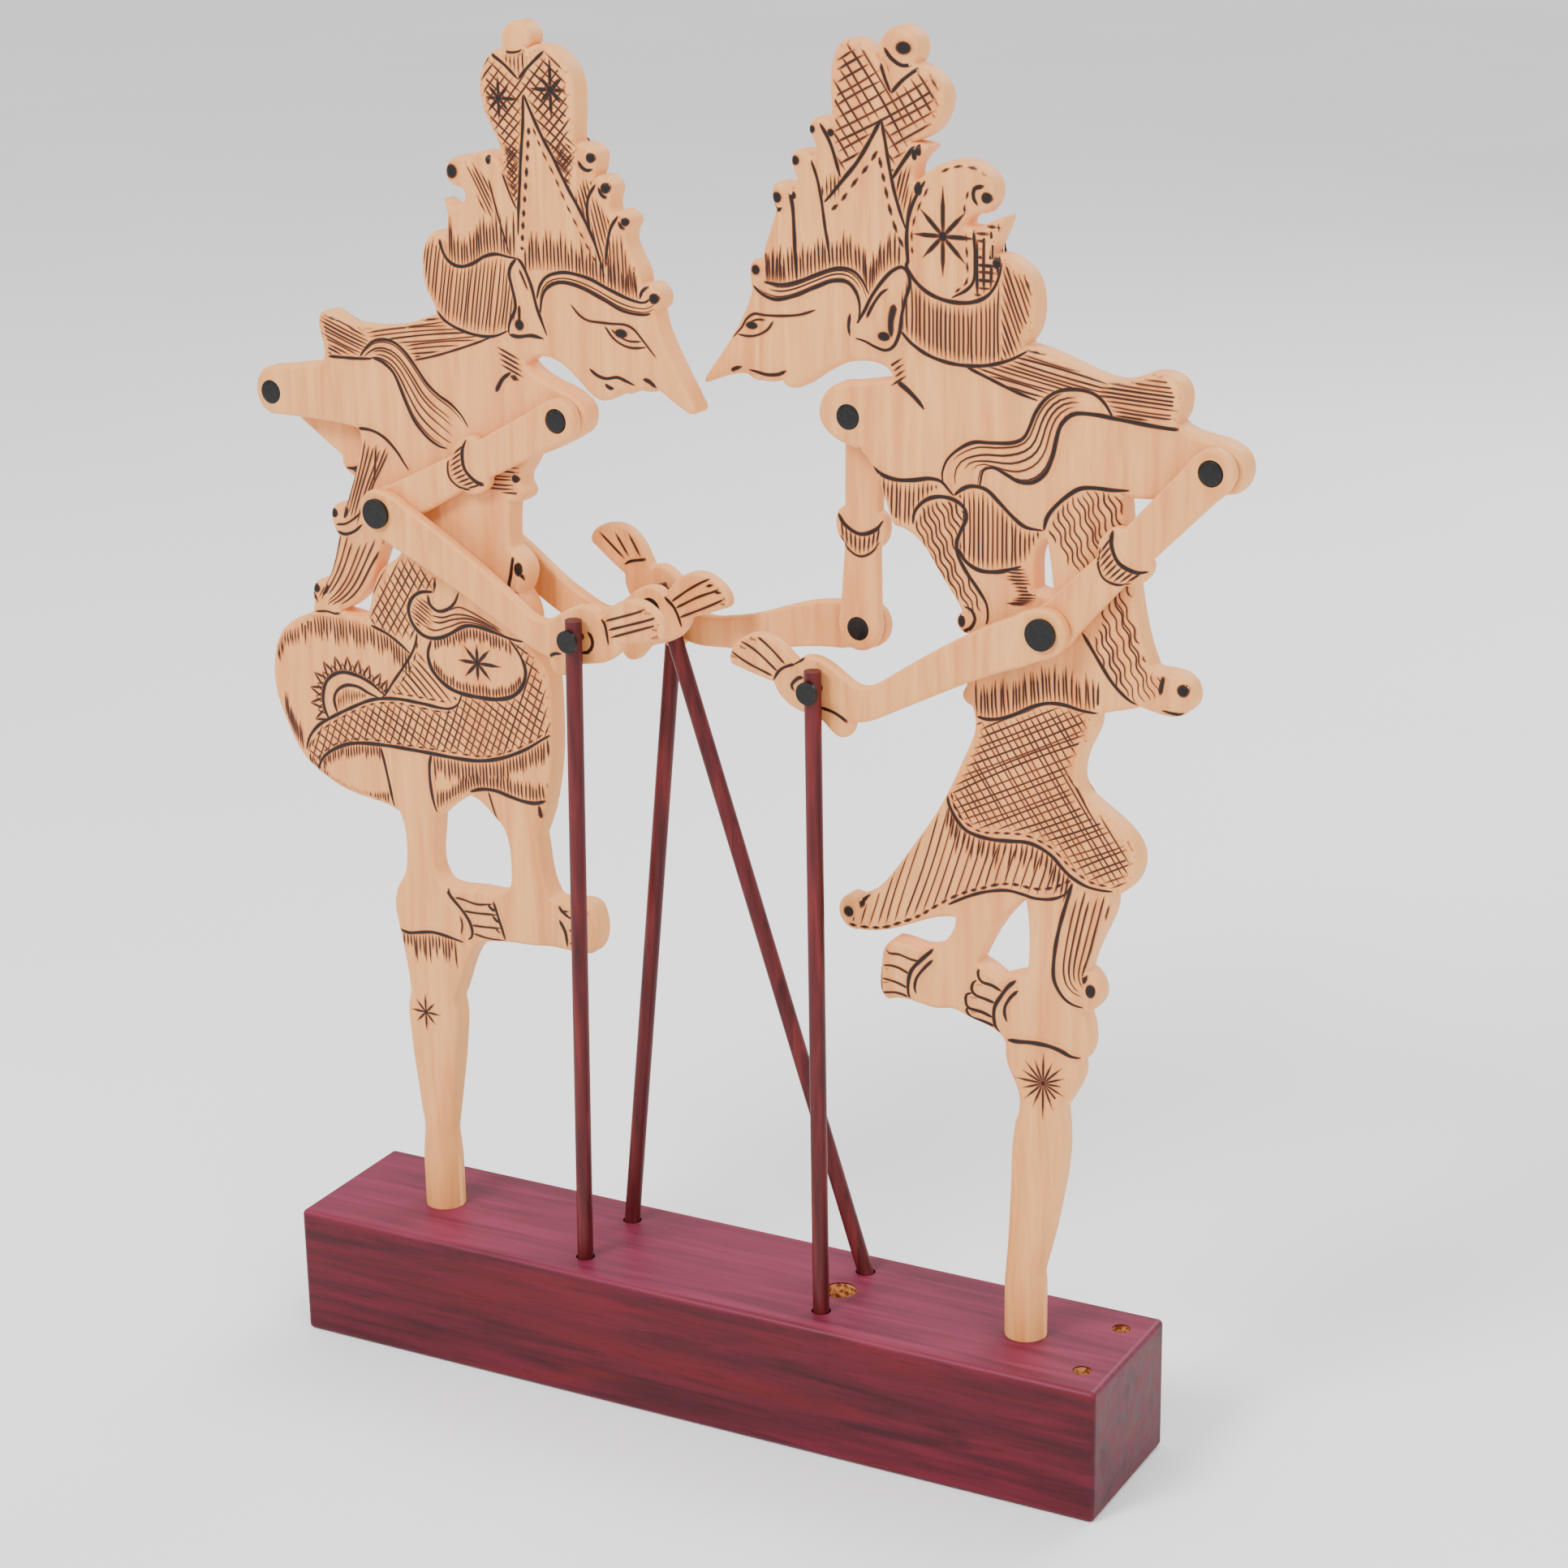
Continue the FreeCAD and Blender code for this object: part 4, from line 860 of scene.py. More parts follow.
def left_stick(p):
    p.line(.8, (-9.5, 128.6), (-6, 128), (-2, 128.8), (3, 129.8), (8, 129.6), (14.5, 128.8))
    p.comb(.5, -90, 4, 10, 1.2, (-8, 128), (-2, 128.6), (3, 129.4), (12, 129))
    p.star(-.9, 103.5, .6, (6, 5, 5.5, 5, 6, 5, 5.5, 5))


# ---------------------------------------------------------------------------- right figure's drawing

def right_crown(p):
    p.eye(-35.2, 394.1, 2.2, 1.6)
    p.line(.8, (-40.8, 394), (-39, 391.6), (-36, 389.8), (-33, 390), (-29.5, 391.4))
    p.line(.8, (-43.5, 393), (-42, 390), (-40.5, 386), (-38.9, 382.6))
    p.line(.8, (-38.9, 382.6), (-35.5, 386), (-31, 389.2), (-28.4, 391.2))
    p.cross(.6, (-55, 2.7), (28, 2.6), (-59, 379), (-60, 388), (-57, 396), (-50, 397), (-44, 393.5),
            (-42.5, 390), (-38.9, 382.6), (-31, 389), (-28, 391.5), (-19, 388), (-18, 381), (-22, 376),
            (-30, 371.5), (-33, 369.8), (-37, 365), (-38.8, 361.5), (-42, 376), (-47, 368.5), (-52, 362),
            (-54.5, 362.5), (-56, 370))
    p.line(.9, (-41.8, 376), (-45, 370.5), (-49, 364.5), (-53, 360), (-57, 355.5), (-59, 353.5))
    p.line(.8, (-41.8, 376), (-40.6, 370), (-39.5, 364), (-38, 357.5), (-36, 351.5), (-34.5, 347.8))
    p.dash(.8, 3, 1.6, (-42.8, 368), (-46, 363.5), (-50, 359), (-54, 354), (-57.4, 351.2))
    p.dash(.8, 2.8, 1.2, (-42.5, 366.5), (-41, 360), (-39.5, 353.5), (-37.5, 347.5), (-35.5, 343.5))


def right_flames(p):
    p.eye(-62.9, 372.2, 1)
    p.line(.8, (-60, 373.8), (-57.6, 370.2), (-56, 366.5), (-54, 360.2))
    p.eye(-56.8, 371.6, 1)
    p.eye(-67.6, 363.8, 1.2)
    p.line(.7, (-62.8, 364.2), (-61, 359.5), (-59.8, 354), (-58.8, 347), (-57.8, 341), (-57.4, 337.5))
    p.eye(-73.4, 353.8, 1.4)
    p.line(.8, (-74.5, 352), (-73.2, 350.5), (-71.8, 351.2))
    p.line(.9, (-69.8, 356.3), (-68.6, 352), (-68.2, 345), (-68, 339), (-67.6, 332.5))
    p.eye(-68.6, 354.8, 1)
    p.hatch(.5, 90, 1.2, (-61, 355), (-58, 361), (-54.5, 362), (-54, 356), (-57, 354))
    p.line(.9, (-32.2, 369.6), (-35, 366), (-37.2, 363), (-38.8, 360.6))
    p.eye(-28.3, 368.4, .8, 1.4)
    p.eye(-30.8, 366.2, .7, 1.4)
    p.eye(-31.2, 359, 1.2, 1.8)
    p.hatch(.5, 75, 1.1, (-32, 366), (-30.5, 360), (-33, 354), (-35, 350), (-38, 358), (-36.5, 363))
    p.comb(.5, 90, 6, 10, 1.2, (-77.5, 331.5), (-72, 331.3), (-67.5, 332.5), (-63, 334), (-58, 336),
           (-52, 336.8), (-48, 335.6), (-46, 331), (-43, 335), (-40, 337.6), (-36.5, 338.4))
    p.comb(.5, 88, 5, 11, 1.2, (-77, 331), (-74, 331), (-71, 331.6))


def right_fan(p):
    p.line(.9, (-29, 361), (-31.6, 357), (-33.8, 352), (-34.5, 346), (-34.2, 340), (-34.6, 338.4),
           (-31.5, 334.6), (-27.5, 332), (-22, 330.6), (-16, 330.8), (-11.5, 332.6), (-8.8, 335.6),
           (-7.3, 339.5), (-6.8, 343))
    p.dash(.6, 2.4, 1.2, (-24.6, 363.5), (-20, 365.2), (-15, 365), (-10.5, 362.5))
    p.dash(.6, 2.4, 1.2, (-28, 359.5), (-31, 354), (-32.9, 348), (-32.8, 341))
    p.dash(.6, 2.4, 1.2, (-16.4, 359.5), (-17.6, 355), (-17.2, 348), (-16.8, 340), (-17, 336),
           (-21, 332.6))
    p.star(-23.9, 347.2, .9, (13, 9.5, 9.5, 9.5, 10.5, 8.5, 9, 9.5))
    p.eye(-11.3, 357.8, 1.4)
    p.line(.9, (-12, 360.8), (-14.8, 359.9), (-15, 357.5), (-13.8, 355.8))
    p.line(.7, (-8.4, 361.8), (-9.2, 358.4))
    p.cross(.7, (0, 2.0), (90, 2.0), (-15, 349.5), (-7, 352.5), (-9, 346), (-8.2, 343), (-7.4, 339),
            (-9.5, 334.5), (-15, 332), (-14.8, 340))
    p.line(.7, (-15, 349.5), (-14.6, 343), (-14.8, 337), (-17, 334), (-21.4, 331.6))
    p.eye(-8.4, 342.6, 1.2, 1.6)


def right_bun(p):
    p.hatch(.55, 90, 1.3, (-34, 336), (-28, 331.5), (-22, 330), (-15, 330), (-9.5, 332.5), (-7, 338),
            (-7, 316), (-10, 315), (-18, 314.3), (-26, 315.6), (-32, 318.5), (-36.5, 322), (-37, 330))
    p.hatch(.55, -68, 1.3, (-7, 338), (-6, 343), (-1, 341.5), (2.2, 336), (2.6, 329), (0, 322),
            (-3, 317.5), (-7, 316))
    p.line(.8, (-36.5, 321.8), (-33, 318.6), (-28, 316), (-22, 314.6), (-16, 314.4), (-10, 315.2),
           (-4, 317.2), (1, 320))
    p.line(.8, (-49.5, 322.5), (-47.2, 326), (-45, 330), (-42, 334), (-39, 337), (-36, 338.4),
           (-34.2, 337), (-33.6, 334), (-34.8, 330.5), (-36, 326), (-36.8, 321), (-38.5, 317.5),
           (-41, 316.2), (-44, 316.8), (-47, 318), (-50, 318.6))
    p.line(.7, (-46.6, 324.2), (-44.5, 328), (-42, 331.2), (-40, 332.4))
    p.line(1.6, (-38.2, 328.5), (-39.3, 324), (-39.2, 319.8))
    p.eye(-41.4, 319.8, 1.8, 1.2)
    p.line(.7, (-51.5, 325), (-52, 321.5), (-51.6, 319))


def right_face(p):
    upper = ((-77.8, 331.2), (-73, 330.8), (-68, 331.8), (-62, 334.2), (-56, 336.4), (-51, 336.4),
             (-47.8, 334), (-45.8, 330.4))
    lower = ((-81.2, 330), (-78.5, 328), (-74.5, 326.8), (-69, 328), (-62, 331), (-57, 333),
             (-52.5, 333.2), (-49.6, 330.6), (-48.6, 327), (-49, 322.6))
    p.line(.8, *upper)
    p.line(.8, *lower)
    p.flow(.35, 3, upper, lower)
    p.eye(-80.3, 334.2, 1.3)
    p.line(.6, (-62, 325), (-67, 323.3), (-73, 322.5), (-78, 322.3), (-81, 322.4), (-83.6, 320.6),
           (-84.8, 318.6), (-88, 315.4))
    p.line(.6, (-75, 321), (-77, 318.4), (-80.5, 316.6), (-84, 316.2), (-86.6, 316.6))
    p.line(.5, (-77.5, 321), (-80.5, 320.8), (-84, 319))
    p.eye(-81.8, 319.2, 1.8, 1)
    p.line(.7, (-71.2, 308), (-73.5, 306.8), (-77, 306.3), (-80.5, 306.8), (-83, 307.2))
    p.line(.9, (-82.8, 306), (-80.5, 306))
    p.line(.8, (-85, 307.8), (-87.5, 307), (-88.6, 306.2))
    for k in range(4):
        p.line(.5, (-36 + k * .4, 314.5 - k * 1.5), (-40.5 + k * .4, 311.5 - k * 1.5))
    p.line(1.1, (-37.6, 308.4), (-34, 306), (-31, 303.4), (-29.5, 301.6))


def right_shawl(p):
    p.hatch(.5, -10, 1.15, (-15, 314.2), (-6, 316), (2, 321.5), (10, 318.5), (24, 315.2), (24, 309.5),
            (16, 310.8), (8, 309.5), (3.5, 306.8), (-6, 310.4))
    p.hatch(.5, -2, 1.15, (20, 311), (25, 316), (32, 316), (40, 318), (45, 316), (47, 311),
            (45.5, 305.5), (25.5, 305), (22, 309))
    p.line(.7, (-17, 314), (-10, 311.5), (-3, 309), (3.6, 307.2))
    outer = ((25, 304.8), (22.5, 308.4), (19.5, 310.5), (15, 311.2), (10, 310.4), (6, 308), (3, 304),
             (1.3, 300), (-.5, 297), (-4, 295.4), (-10, 294.8), (-15, 294.4), (-19.5, 292),
             (-22.8, 288.8), (-24.2, 285), (-23.8, 282.6))
    inner = ((46, 303.6), (38, 303.8), (30, 304.4), (25, 304.8), (20, 305.2), (14, 304.8), (10.5, 301.8),
             (9, 297.5), (8, 293), (6, 288.6), (2.5, 285.8), (-1.5, 285.4), (-5, 286.8), (-9, 288.3),
             (-12, 287.3), (-12.8, 284.5), (-13.2, 282.8))
    p.line(.8, *outer)
    p.line(.9, *inner)
    p.flow(.5, 5, outer[3:], inner[4:])


def right_chest(p):
    p.line(.9, (-49.5, 289.5), (-46, 285.5), (-42.5, 283), (-38, 282), (-33, 282.4), (-28, 283.4),
           (-24.5, 283), (-22.5, 281.2), (-20.8, 279.6))
    p.line(.9, (-20.8, 279.6), (-18, 281.8), (-15, 282.8), (-11, 282.2), (-7, 279), (-3, 275.6),
           (.5, 273.6), (5.5, 273.3))
    p.hatch(.5, 88, 1.3, (-49.5, 288.5), (-42, 282.5), (-33, 281.8), (-24, 282.8), (-29, 278),
            (-32.5, 274), (-33.5, 269.5), (-41, 269.5), (-46, 277))
    p.hatch(.5, 90, 1.35, (-19.5, 280.5), (-15, 282), (-10, 281), (-4, 275.6), (1, 273), (6, 272.8),
            (2, 268), (.5, 264), (-4, 261.8), (-12, 260.4), (-17, 262), (-19.8, 265), (-18, 271),
            (-17.6, 276))
    p.line(.9, (-19.8, 265.8), (-17, 262.2), (-13, 260.4), (-8, 260.6), (-4, 261.8), (-.8, 263))
    p.comb(.5, 185, 5, 7, 1.0, (0, 262.5), (2, 258), (3.5, 255), (1, 252.8))


def right_scarves(p):
    p.line(.9, (-33, 270.5), (-32.4, 274), (-29.5, 277.2), (-25.5, 278.8), (-21, 278.6), (-17.8, 276.8),
           (-17, 274), (-18.6, 270.5), (-19.9, 267), (-19.4, 263.5), (-17, 259.5), (-13.5, 255.2),
           (-11, 251.5), (-10.6, 247.5), (-11.2, 246))
    p.hatch(.5, -65, 1.7, (-32.6, 271), (-31, 275.4), (-26, 278.2), (-20, 278), (-17.6, 275.4),
            (-19, 270.5), (-20.2, 266), (-19, 262), (-14, 255), (-11.5, 249), (-15, 247.5), (-18, 250.5),
            (-22, 253), (-27, 260), (-30.5, 266), wave=.4)
    p.eye(-19.2, 246.5, 1.1, 1.7)
    p.line(.8, (-20.5, 243.8), (-18, 243.2), (-15.5, 244.6), (-14.4, 247.2), (-15.6, 249.4),
           (-17.6, 250))
    p.line(.9, (5.6, 273.4), (6.6, 277), (9, 280.2), (12.5, 283.4), (16, 285.6), (20, 286.2),
           (25, 286.2), (29.8, 286.6))
    p.hatch(.5, -68, 1.8, (7, 272.5), (8.5, 278.5), (13, 283), (18, 285.4), (29.5, 285.8), (29, 281),
            (31, 262), (34, 250), (38, 242), (40.5, 240), (39, 232.5), (33, 230.4), (28, 233),
            (23, 238.5), (19, 246), (23, 252), (20, 260), (12, 266), wave=.45)
    p.line(.8, (17, 247.5), (19.8, 243.5), (22.5, 239.6), (26, 235), (30, 231.6), (33, 230.2))
    p.eye(45.8, 235.8, 1.6)
    p.line(1.0, (39.4, 233.8), (39.9, 237), (41, 240.5), (43.4, 241.6))
    p.line(.8, (48.6, 240.5), (50.2, 236), (48.5, 232), (45, 229.4), (40, 229.8))


def right_skirt(p):
    waist = ((-14.2, 220.4), (-11, 219.9), (-7, 220.6), (-3, 222.2), (2, 225), (7, 226.9), (12, 227.2),
             (17, 226.4), (22.5, 226.2))
    p.line(.8, *waist)
    p.comb(.5, 92, 8, 11, 1.25, *waist)
    p.cross(.4, (-55, 1.9), (27, 1.9), (-14.5, 219), (-11, 219.3), (-4, 221.4), (3, 224.8), (9, 226.4),
            (26, 226), (27, 221), (24, 214), (22.5, 208), (24, 204), (31, 202), (40, 198), (44, 190),
            (42, 182), (34, 177), (25, 179), (20, 179.6), (14.5, 182.5), (10, 187), (5, 189.2), (0, 190),
            (-6, 189.4), (-13, 188.8), (-18, 190), (-21.5, 194), (-22.8, 198), (-19, 206), (-15.5, 214))
    hem = ((-23, 198.5), (-22.3, 194.5), (-20.3, 190.8), (-17.5, 188), (-14, 186.8), (-9, 186.4),
           (-4, 186.8), (1, 187.3), (5, 186.6), (9, 184.6), (12, 181.8), (15, 179.6), (19, 178),
           (23, 177.6), (26.8, 177.8))
    p.line(.9, *hem)
    p.dash(.6, 2.2, .8, (-21.6, 198), (-20.6, 194), (-18.6, 191), (-15.5, 189), (-12, 188), (-7, 188.6),
           (0, 189.3), (5, 188.4), (9, 186.8), (12.5, 184), (16, 181.5), (20, 179.4), (25, 179))
    p.comb(.5, -100, 5, 9, 1.6, *hem[1:12])
    p.hatch(.35, 72, 2.4, (-23.5, 196), (-16, 187.5), (-6, 186), (4, 186), (11, 182), (14.5, 178.5),
            (9, 173.5), (2, 173), (-6, 173.5), (-13, 171), (-21, 166.5), (-28, 162.5), (-36, 158.5),
            (-46, 154.5), (-54, 154.5), (-46, 163.5), (-37, 175), (-29, 186))
    p.dash(.7, 2.6, .9, (-54, 154.2), (-50, 154), (-43, 155), (-38, 157.2), (-32, 160.2), (-27, 163.8),
           (-22, 167.2), (-17, 170), (-12, 172), (-7, 174), (-2, 174.8), (4, 174.6), (9, 175.8),
           (14.5, 178.8))
    p.line(.7, (-22.5, 165.4), (-18, 168), (-13, 170.4), (-8, 172), (-4, 172.7), (0, 172.4), (4, 171.9),
           (9, 172.6), (13, 174.8), (15, 178.2))
    p.eye(-53.8, 157.8, 1.5)
    p.line(1.5, (-50, 159.5), (-49, 162), (-47, 163.8))


def right_hanging(p):
    p.line(.9, (15, 178.2), (13.2, 172), (11.3, 165), (10, 158), (9.6, 151), (10.8, 147.4),
           (13.2, 144.6), (16, 143.4), (18.6, 143.2))
    p.flow(.5, 6, ((16, 177), (14.2, 170), (12.6, 162), (11.6, 154), (12.4, 149), (15, 146.4),
           (18, 145.8)), ((27, 176), (25, 168), (22.5, 160), (19.5, 154), (18.6, 150.8)))
    p.eye(21.7, 148.6, 1.4, 1.9)
    p.line(.9, (18.5, 150), (19.5, 152.6), (21.3, 154.4))


def right_feet(p):
    p.line(.9, (-24.5, 154), (-28, 150.6), (-31.4, 147.2), (-34, 144), (-35, 140.5), (-35, 137),
           (-34.4, 135.8))
    p.line(.7, (-27.2, 148.4), (-30, 145.4), (-32.4, 142), (-33, 139), (-32.5, 137.4))
    p.line(.6, (-31.2, 147.2), (-34, 147.2), (-38, 148), (-41, 147.8), (-43, 149.6))
    p.line(.6, (-34.6, 142.8), (-38, 144), (-41, 144.2), (-43.6, 143.6))
    p.line(.6, (-35, 138.5), (-39, 139.6), (-43.6, 140))
    p.line(.6, (-34.8, 136), (-39, 136.5), (-43.6, 135.6))
    for height in (147, 142.8, 138.7):
        p.line(.8, (-43.5, height), (-41.5, height + .3))
    p.line(.7, (-42.4, 150.6), (-43.4, 147.4), (-43.8, 143), (-43.8, 138), (-43.4, 135.4))
    p.line(.9, (-1.6, 147.2), (-4, 145), (-6.2, 141.8), (-8, 138.6), (-8.4, 135.4), (-7.8, 132.6),
           (-6.5, 131.2))
    p.line(.7, (-1, 144.4), (-3.4, 141.8), (-5, 138.8), (-5, 136.4), (-4.3, 134.6))
    p.line(.7, (-6, 143.2), (-9, 144.4), (-12, 144.8), (-13.2, 146.4), (-13, 148.4), (-11.6, 150))
    p.line(.7, (-8, 139.4), (-11, 140), (-14, 140.6), (-15.2, 142), (-14.8, 144), (-13.6, 145))
    p.line(.7, (-8.6, 135), (-12, 136), (-16, 136.4), (-17, 138), (-16.8, 140.2), (-15, 141))
    p.line(.7, (-8, 132.6), (-12, 133.4), (-15.4, 133.8), (-16.8, 135.6), (-16.2, 136.6))
    p.lines(.8, ((-13.8, 143.8), (-12, 143.8)), ((-15.6, 139.6), (-13.5, 139.8)), ((-15.6, 135.2),
            (-13.6, 135.6)), ((-10.6, 148.8), (-8, 149.2)))
    p.line(1.0, (-4.2, 129.4), (-1, 129.5), (3, 130), (8, 130.1), (12, 129.4), (15, 128.4), (18, 128.4))
    p.star(6.8, 118.8, .5, (9, 7, 8, 7, 9, 7, 8, 8, 11, 8, 8, 7, 9, 7, 8, 7))
    p.line(.4, (10.8, 111.5), (14, 114))


# ---------------------------------------------------------------------------- arm drawing

def bracelet(p, middle):
    """Two bowed bands across the upper arm with strokes between them."""
    p.line(.9, (middle - 3, 7), (middle, 4.6), (middle + 1.8, 0), (middle, -4.6), (middle - 3, -7))
    p.line(.6, (middle + 3, 6), (middle + 6.4, 3.6), (middle + 8, 0), (middle + 6.4, -3.6), (middle + 3,
           -6))
    for k in range(9):
        z = -6 + 1.5 * k
        bow = 1.8 - 4.6 * (z / 7) ** 2
        p.line(.45, (middle + bow, z), (middle + bow + 5.6 + random.uniform(-.6, .4), z * .85))


def left_front_hand(p):
    p.line(.7, (3.8, 10.7), (3.8, 8.7), (6, 7.5), (8, 4.5), (9.2, 2.2))
    p.line(.6, (6, 8.2), (15.5, 16.5), (18, 20))
    p.line(.6, (7.8, 6.3), (20.3, 17), (20.8, 19.5))
    p.line(.6, (9, 4.5), (22.2, 16))
    p.lines(.8, ((21.2, 11), (24.7, 14)), ((20.5, 13.5), (23.7, 14.7)), ((22, 15.5), (24.2, 17.7)),
            ((15.5, 16.7), (17.7, 19)), ((16.7, 16.7), (18.7, 17.5)))
    p.line(.8, (1.8, 2.5), (3.5, 1.5), (4.5, -.5), (3.8, -3), (1.5, -4.5))
    p.line(.7, (-7.5, -11.2), (-7, -10), (-5.8, -8.8), (-4, -8))


def left_back_hand(p):
    p.line(.7, (3, 6), (5.2, 4.8), (7.7, 3.5), (9.7, 1.2), (11.2, -1.2))
    p.line(.6, (6.5, 4.8), (11.2, 10.2), (15.7, 14.5), (18.7, 16.5))
    p.line(.6, (8.2, 3.5), (14.7, 9.3), (19.7, 13), (22, 15.5))
    p.line(.6, (10, 1.3), (17.7, 7.3), (22.7, 11.5), (24.7, 13.3))
    p.lines(.7, ((16.5, 13.2), (18.7, 14.5)), ((19.2, 12.5), (21.7, 13.2)), ((21.5, 10.7), (24.7, 13.2)),
            ((22, 10), (24.7, 10.7)))


def right_front_hand(p):
    p.line(.7, (1.5, 8.6), (5, 7.8), (8.5, 7.6), (11, 6.8), (13.5, 4.8))
    p.line(.6, (8.2, 8.3), (11, 13.3), (14, 17.3), (16.2, 18.8))
    p.line(.6, (11.2, 6.8), (16, 13.8), (20.5, 18))
    p.line(.6, (13.2, 6), (20, 11.3), (24.5, 16))
    p.lines(.8, ((11, 17), (13.2, 18)), ((15, 16.6), (18.2, 18.6)), ((19, 15), (22.2, 17.3)),
            ((22.8, 13.3), (26, 15)))
    p.line(.8, (3.8, 3.6), (5.5, 3.8), (8.2, 2.4), (8, .6))
    p.line(.7, (-6.2, -12), (-4, -9.2), (-1.5, -7), (2.2, -5))


def right_back_hand(p):
    p.line(.7, (1.7, 14.8), (5.2, 14.3), (9.2, 13.7), (11.5, 12.6))
    p.line(.6, (5.7, 15), (9.2, 21.8))
    p.line(.6, (9.7, 15), (13.7, 21.8))
    p.line(.6, (11.2, 14.3), (19.2, 21.8))


DRAWING = {
    "left": (left_crown, left_flames, left_bun, left_face, left_shawl, left_tail, left_waist,
             left_sunburst, left_belt, left_lobe, left_sarong, left_feet, left_stick),
    "right": (right_crown, right_flames, right_fan, right_bun, right_face, right_shawl, right_chest,
              right_scarves, right_skirt, right_hanging, right_feet),
}
HANDS = {"left_front": left_front_hand, "left_back": left_back_hand,
         "right_front": right_front_hand, "right_back": right_back_hand}


def arm_pen(origin, start, end, facing):
    """A pen at origin whose x runs from start to end and whose z points to the back of the hand."""
    along = np.array(end) - np.array(start)
    along = along / np.hypot(*along)
    return Pen(origin, along, (-along[1] * facing, along[0] * facing))


# ---------------------------------------------------------------------------- materials

def srgb(red, green, blue):
    """A display colour, 0 to 255, as the linear colour a shader takes."""
    shares = [c / 255 for c in (red, green, blue)]
    return tuple(c / 12.92 if c < 0.04045 else ((c + 0.055) / 1.055) ** 2.4 for c in shares) + (1.0,)


def grey(value):
    return (value, value, value, 1.0)


class Nodes:
    """A short way to add nodes to one material."""

    def __init__(self, name):
        self.material = bpy.data.materials.new(name)
        self.material.use_nodes = True
        self.tree = self.material.node_tree
        self.shader = self.tree.nodes["Principled BSDF"]

    def add(self, kind, inputs=(), **settings):
        node = self.tree.nodes.new("ShaderNode" + kind)
        for key, value in settings.items():
            setattr(node, key, value)
        for key, value in dict(inputs).items():
            self.join(value, node.inputs[key])
        return node

    def join(self, value, socket):
        if isinstance(value, bpy.types.NodeSocket):
            self.tree.links.new(value, socket)
        else:
            socket.default_value = value

    def noise(self, stretch, detail=4.0, distortion=0.0):
        """Noise whose size along each axis is set by stretch, in features per metre."""
        spots = self.add("TexCoord").outputs["Object"]
        scaled = self.add("Mapping", {"Vector": spots, "Scale": stretch}).outputs["Vector"]
        return self.add("TexNoise", {"Vector": scaled, "Scale": 1.0, "Detail": detail,
                                     "Distortion": distortion}).outputs["Fac"]

    def ramp(self, value, *stops):
        node = self.add("ValToRGB", {"Fac": value})
        band = node.color_ramp
        while len(band.elements) < len(stops):
            band.elements.new(0.5)
        for element, (place, colour) in zip(band.elements, stops):
            element.position = place
            element.color = colour
        return node.outputs["Color"]

    def span(self, value, low, high):
        """A grey between low and high, for a roughness that follows a noise."""
        return self.ramp(value, (0.3, grey(low)), (0.7, grey(high)))

    def share(self, value, low, high, most, rising=True):
        """How much of a colour to mix in: from nothing at low to most at high, or the other way."""
        ends = (0, 1) if rising else (1, 0)
        return self.math("MULTIPLY", self.ramp(value, (low, grey(ends[0])), (high, grey(ends[1]))), most)

    def mix(self, share, first, second):
        node = self.add("Mix", data_type="RGBA", blend_type="MIX")
        self.join(share, node.inputs["Factor"])
        self.join(first, node.inputs[6])
        self.join(second, node.inputs[7])
        return node.outputs[2]

    def math(self, operation, first, second):
        node = self.add("Math", operation=operation, use_clamp=True)
        self.join(first, node.inputs[0])
        self.join(second, node.inputs[1])
        return node.outputs[0]

    def layer(self, name):
        return self.add("Attribute", attribute_name=name).outputs["Fac"]

    def bump(self, height, strength, distance_mm):
        node = self.add("Bump", {"Height": height, "Strength": strength, "Distance": distance_mm * MM})
        self.join(node.outputs["Normal"], self.shader.inputs["Normal"])

    def finish(self, colour, rough, gloss):
        self.join(colour, self.shader.inputs["Base Color"])
        self.join(rough, self.shader.inputs["Roughness"])
        self.shader.inputs["Specular IOR Level"].default_value = gloss
        return self.material


def carved_wood():
    """Pale wood with a painted highlight on its rounded rims, dark where the burn layer says so."""
    n = Nodes("carved_wood")
    grain = n.noise((260, 260, 22), 6.0, 0.6)
    pores = n.noise((1500, 1500, 90), 3.0)
    cloud = n.noise((26, 26, 14), 2.0)
    face = n.ramp(grain, (0.30, srgb(208, 132, 72)), (0.5, srgb(222, 152, 88)), (0.72, srgb(230, 166, 102)))
    face = n.mix(n.share(cloud, 0.4, 0.7, 0.35), face, srgb(220, 138, 80))
    face = n.mix(n.share(pores, 0.56, 0.70, 0.22), face, srgb(186, 118, 68))
    # Painted highlight: near every rounded rim the wood is mixed towards a lighter orange, standing in for
    # the light the edges catch.
    face = n.mix(n.share(n.layer("rim_highlight"), 0.25, 0.85, 0.75), face, srgb(240, 168, 100))
    dark = n.layer("burn")
    share = n.ramp(dark, (0.02, grey(0)), (0.22, grey(0.42)), (0.5, grey(1)))
    burnt = n.ramp(dark, (0.08, srgb(190, 100, 38)), (0.4, srgb(104, 42, 10)), (0.72, srgb(34, 12, 4)),
                   (1.0, srgb(10, 4, 2)))
    n.bump(grain, 0.25, 0.25)
    return n.finish(n.mix(share, face, burnt), n.span(grain, 0.46, 0.58), 0.3)


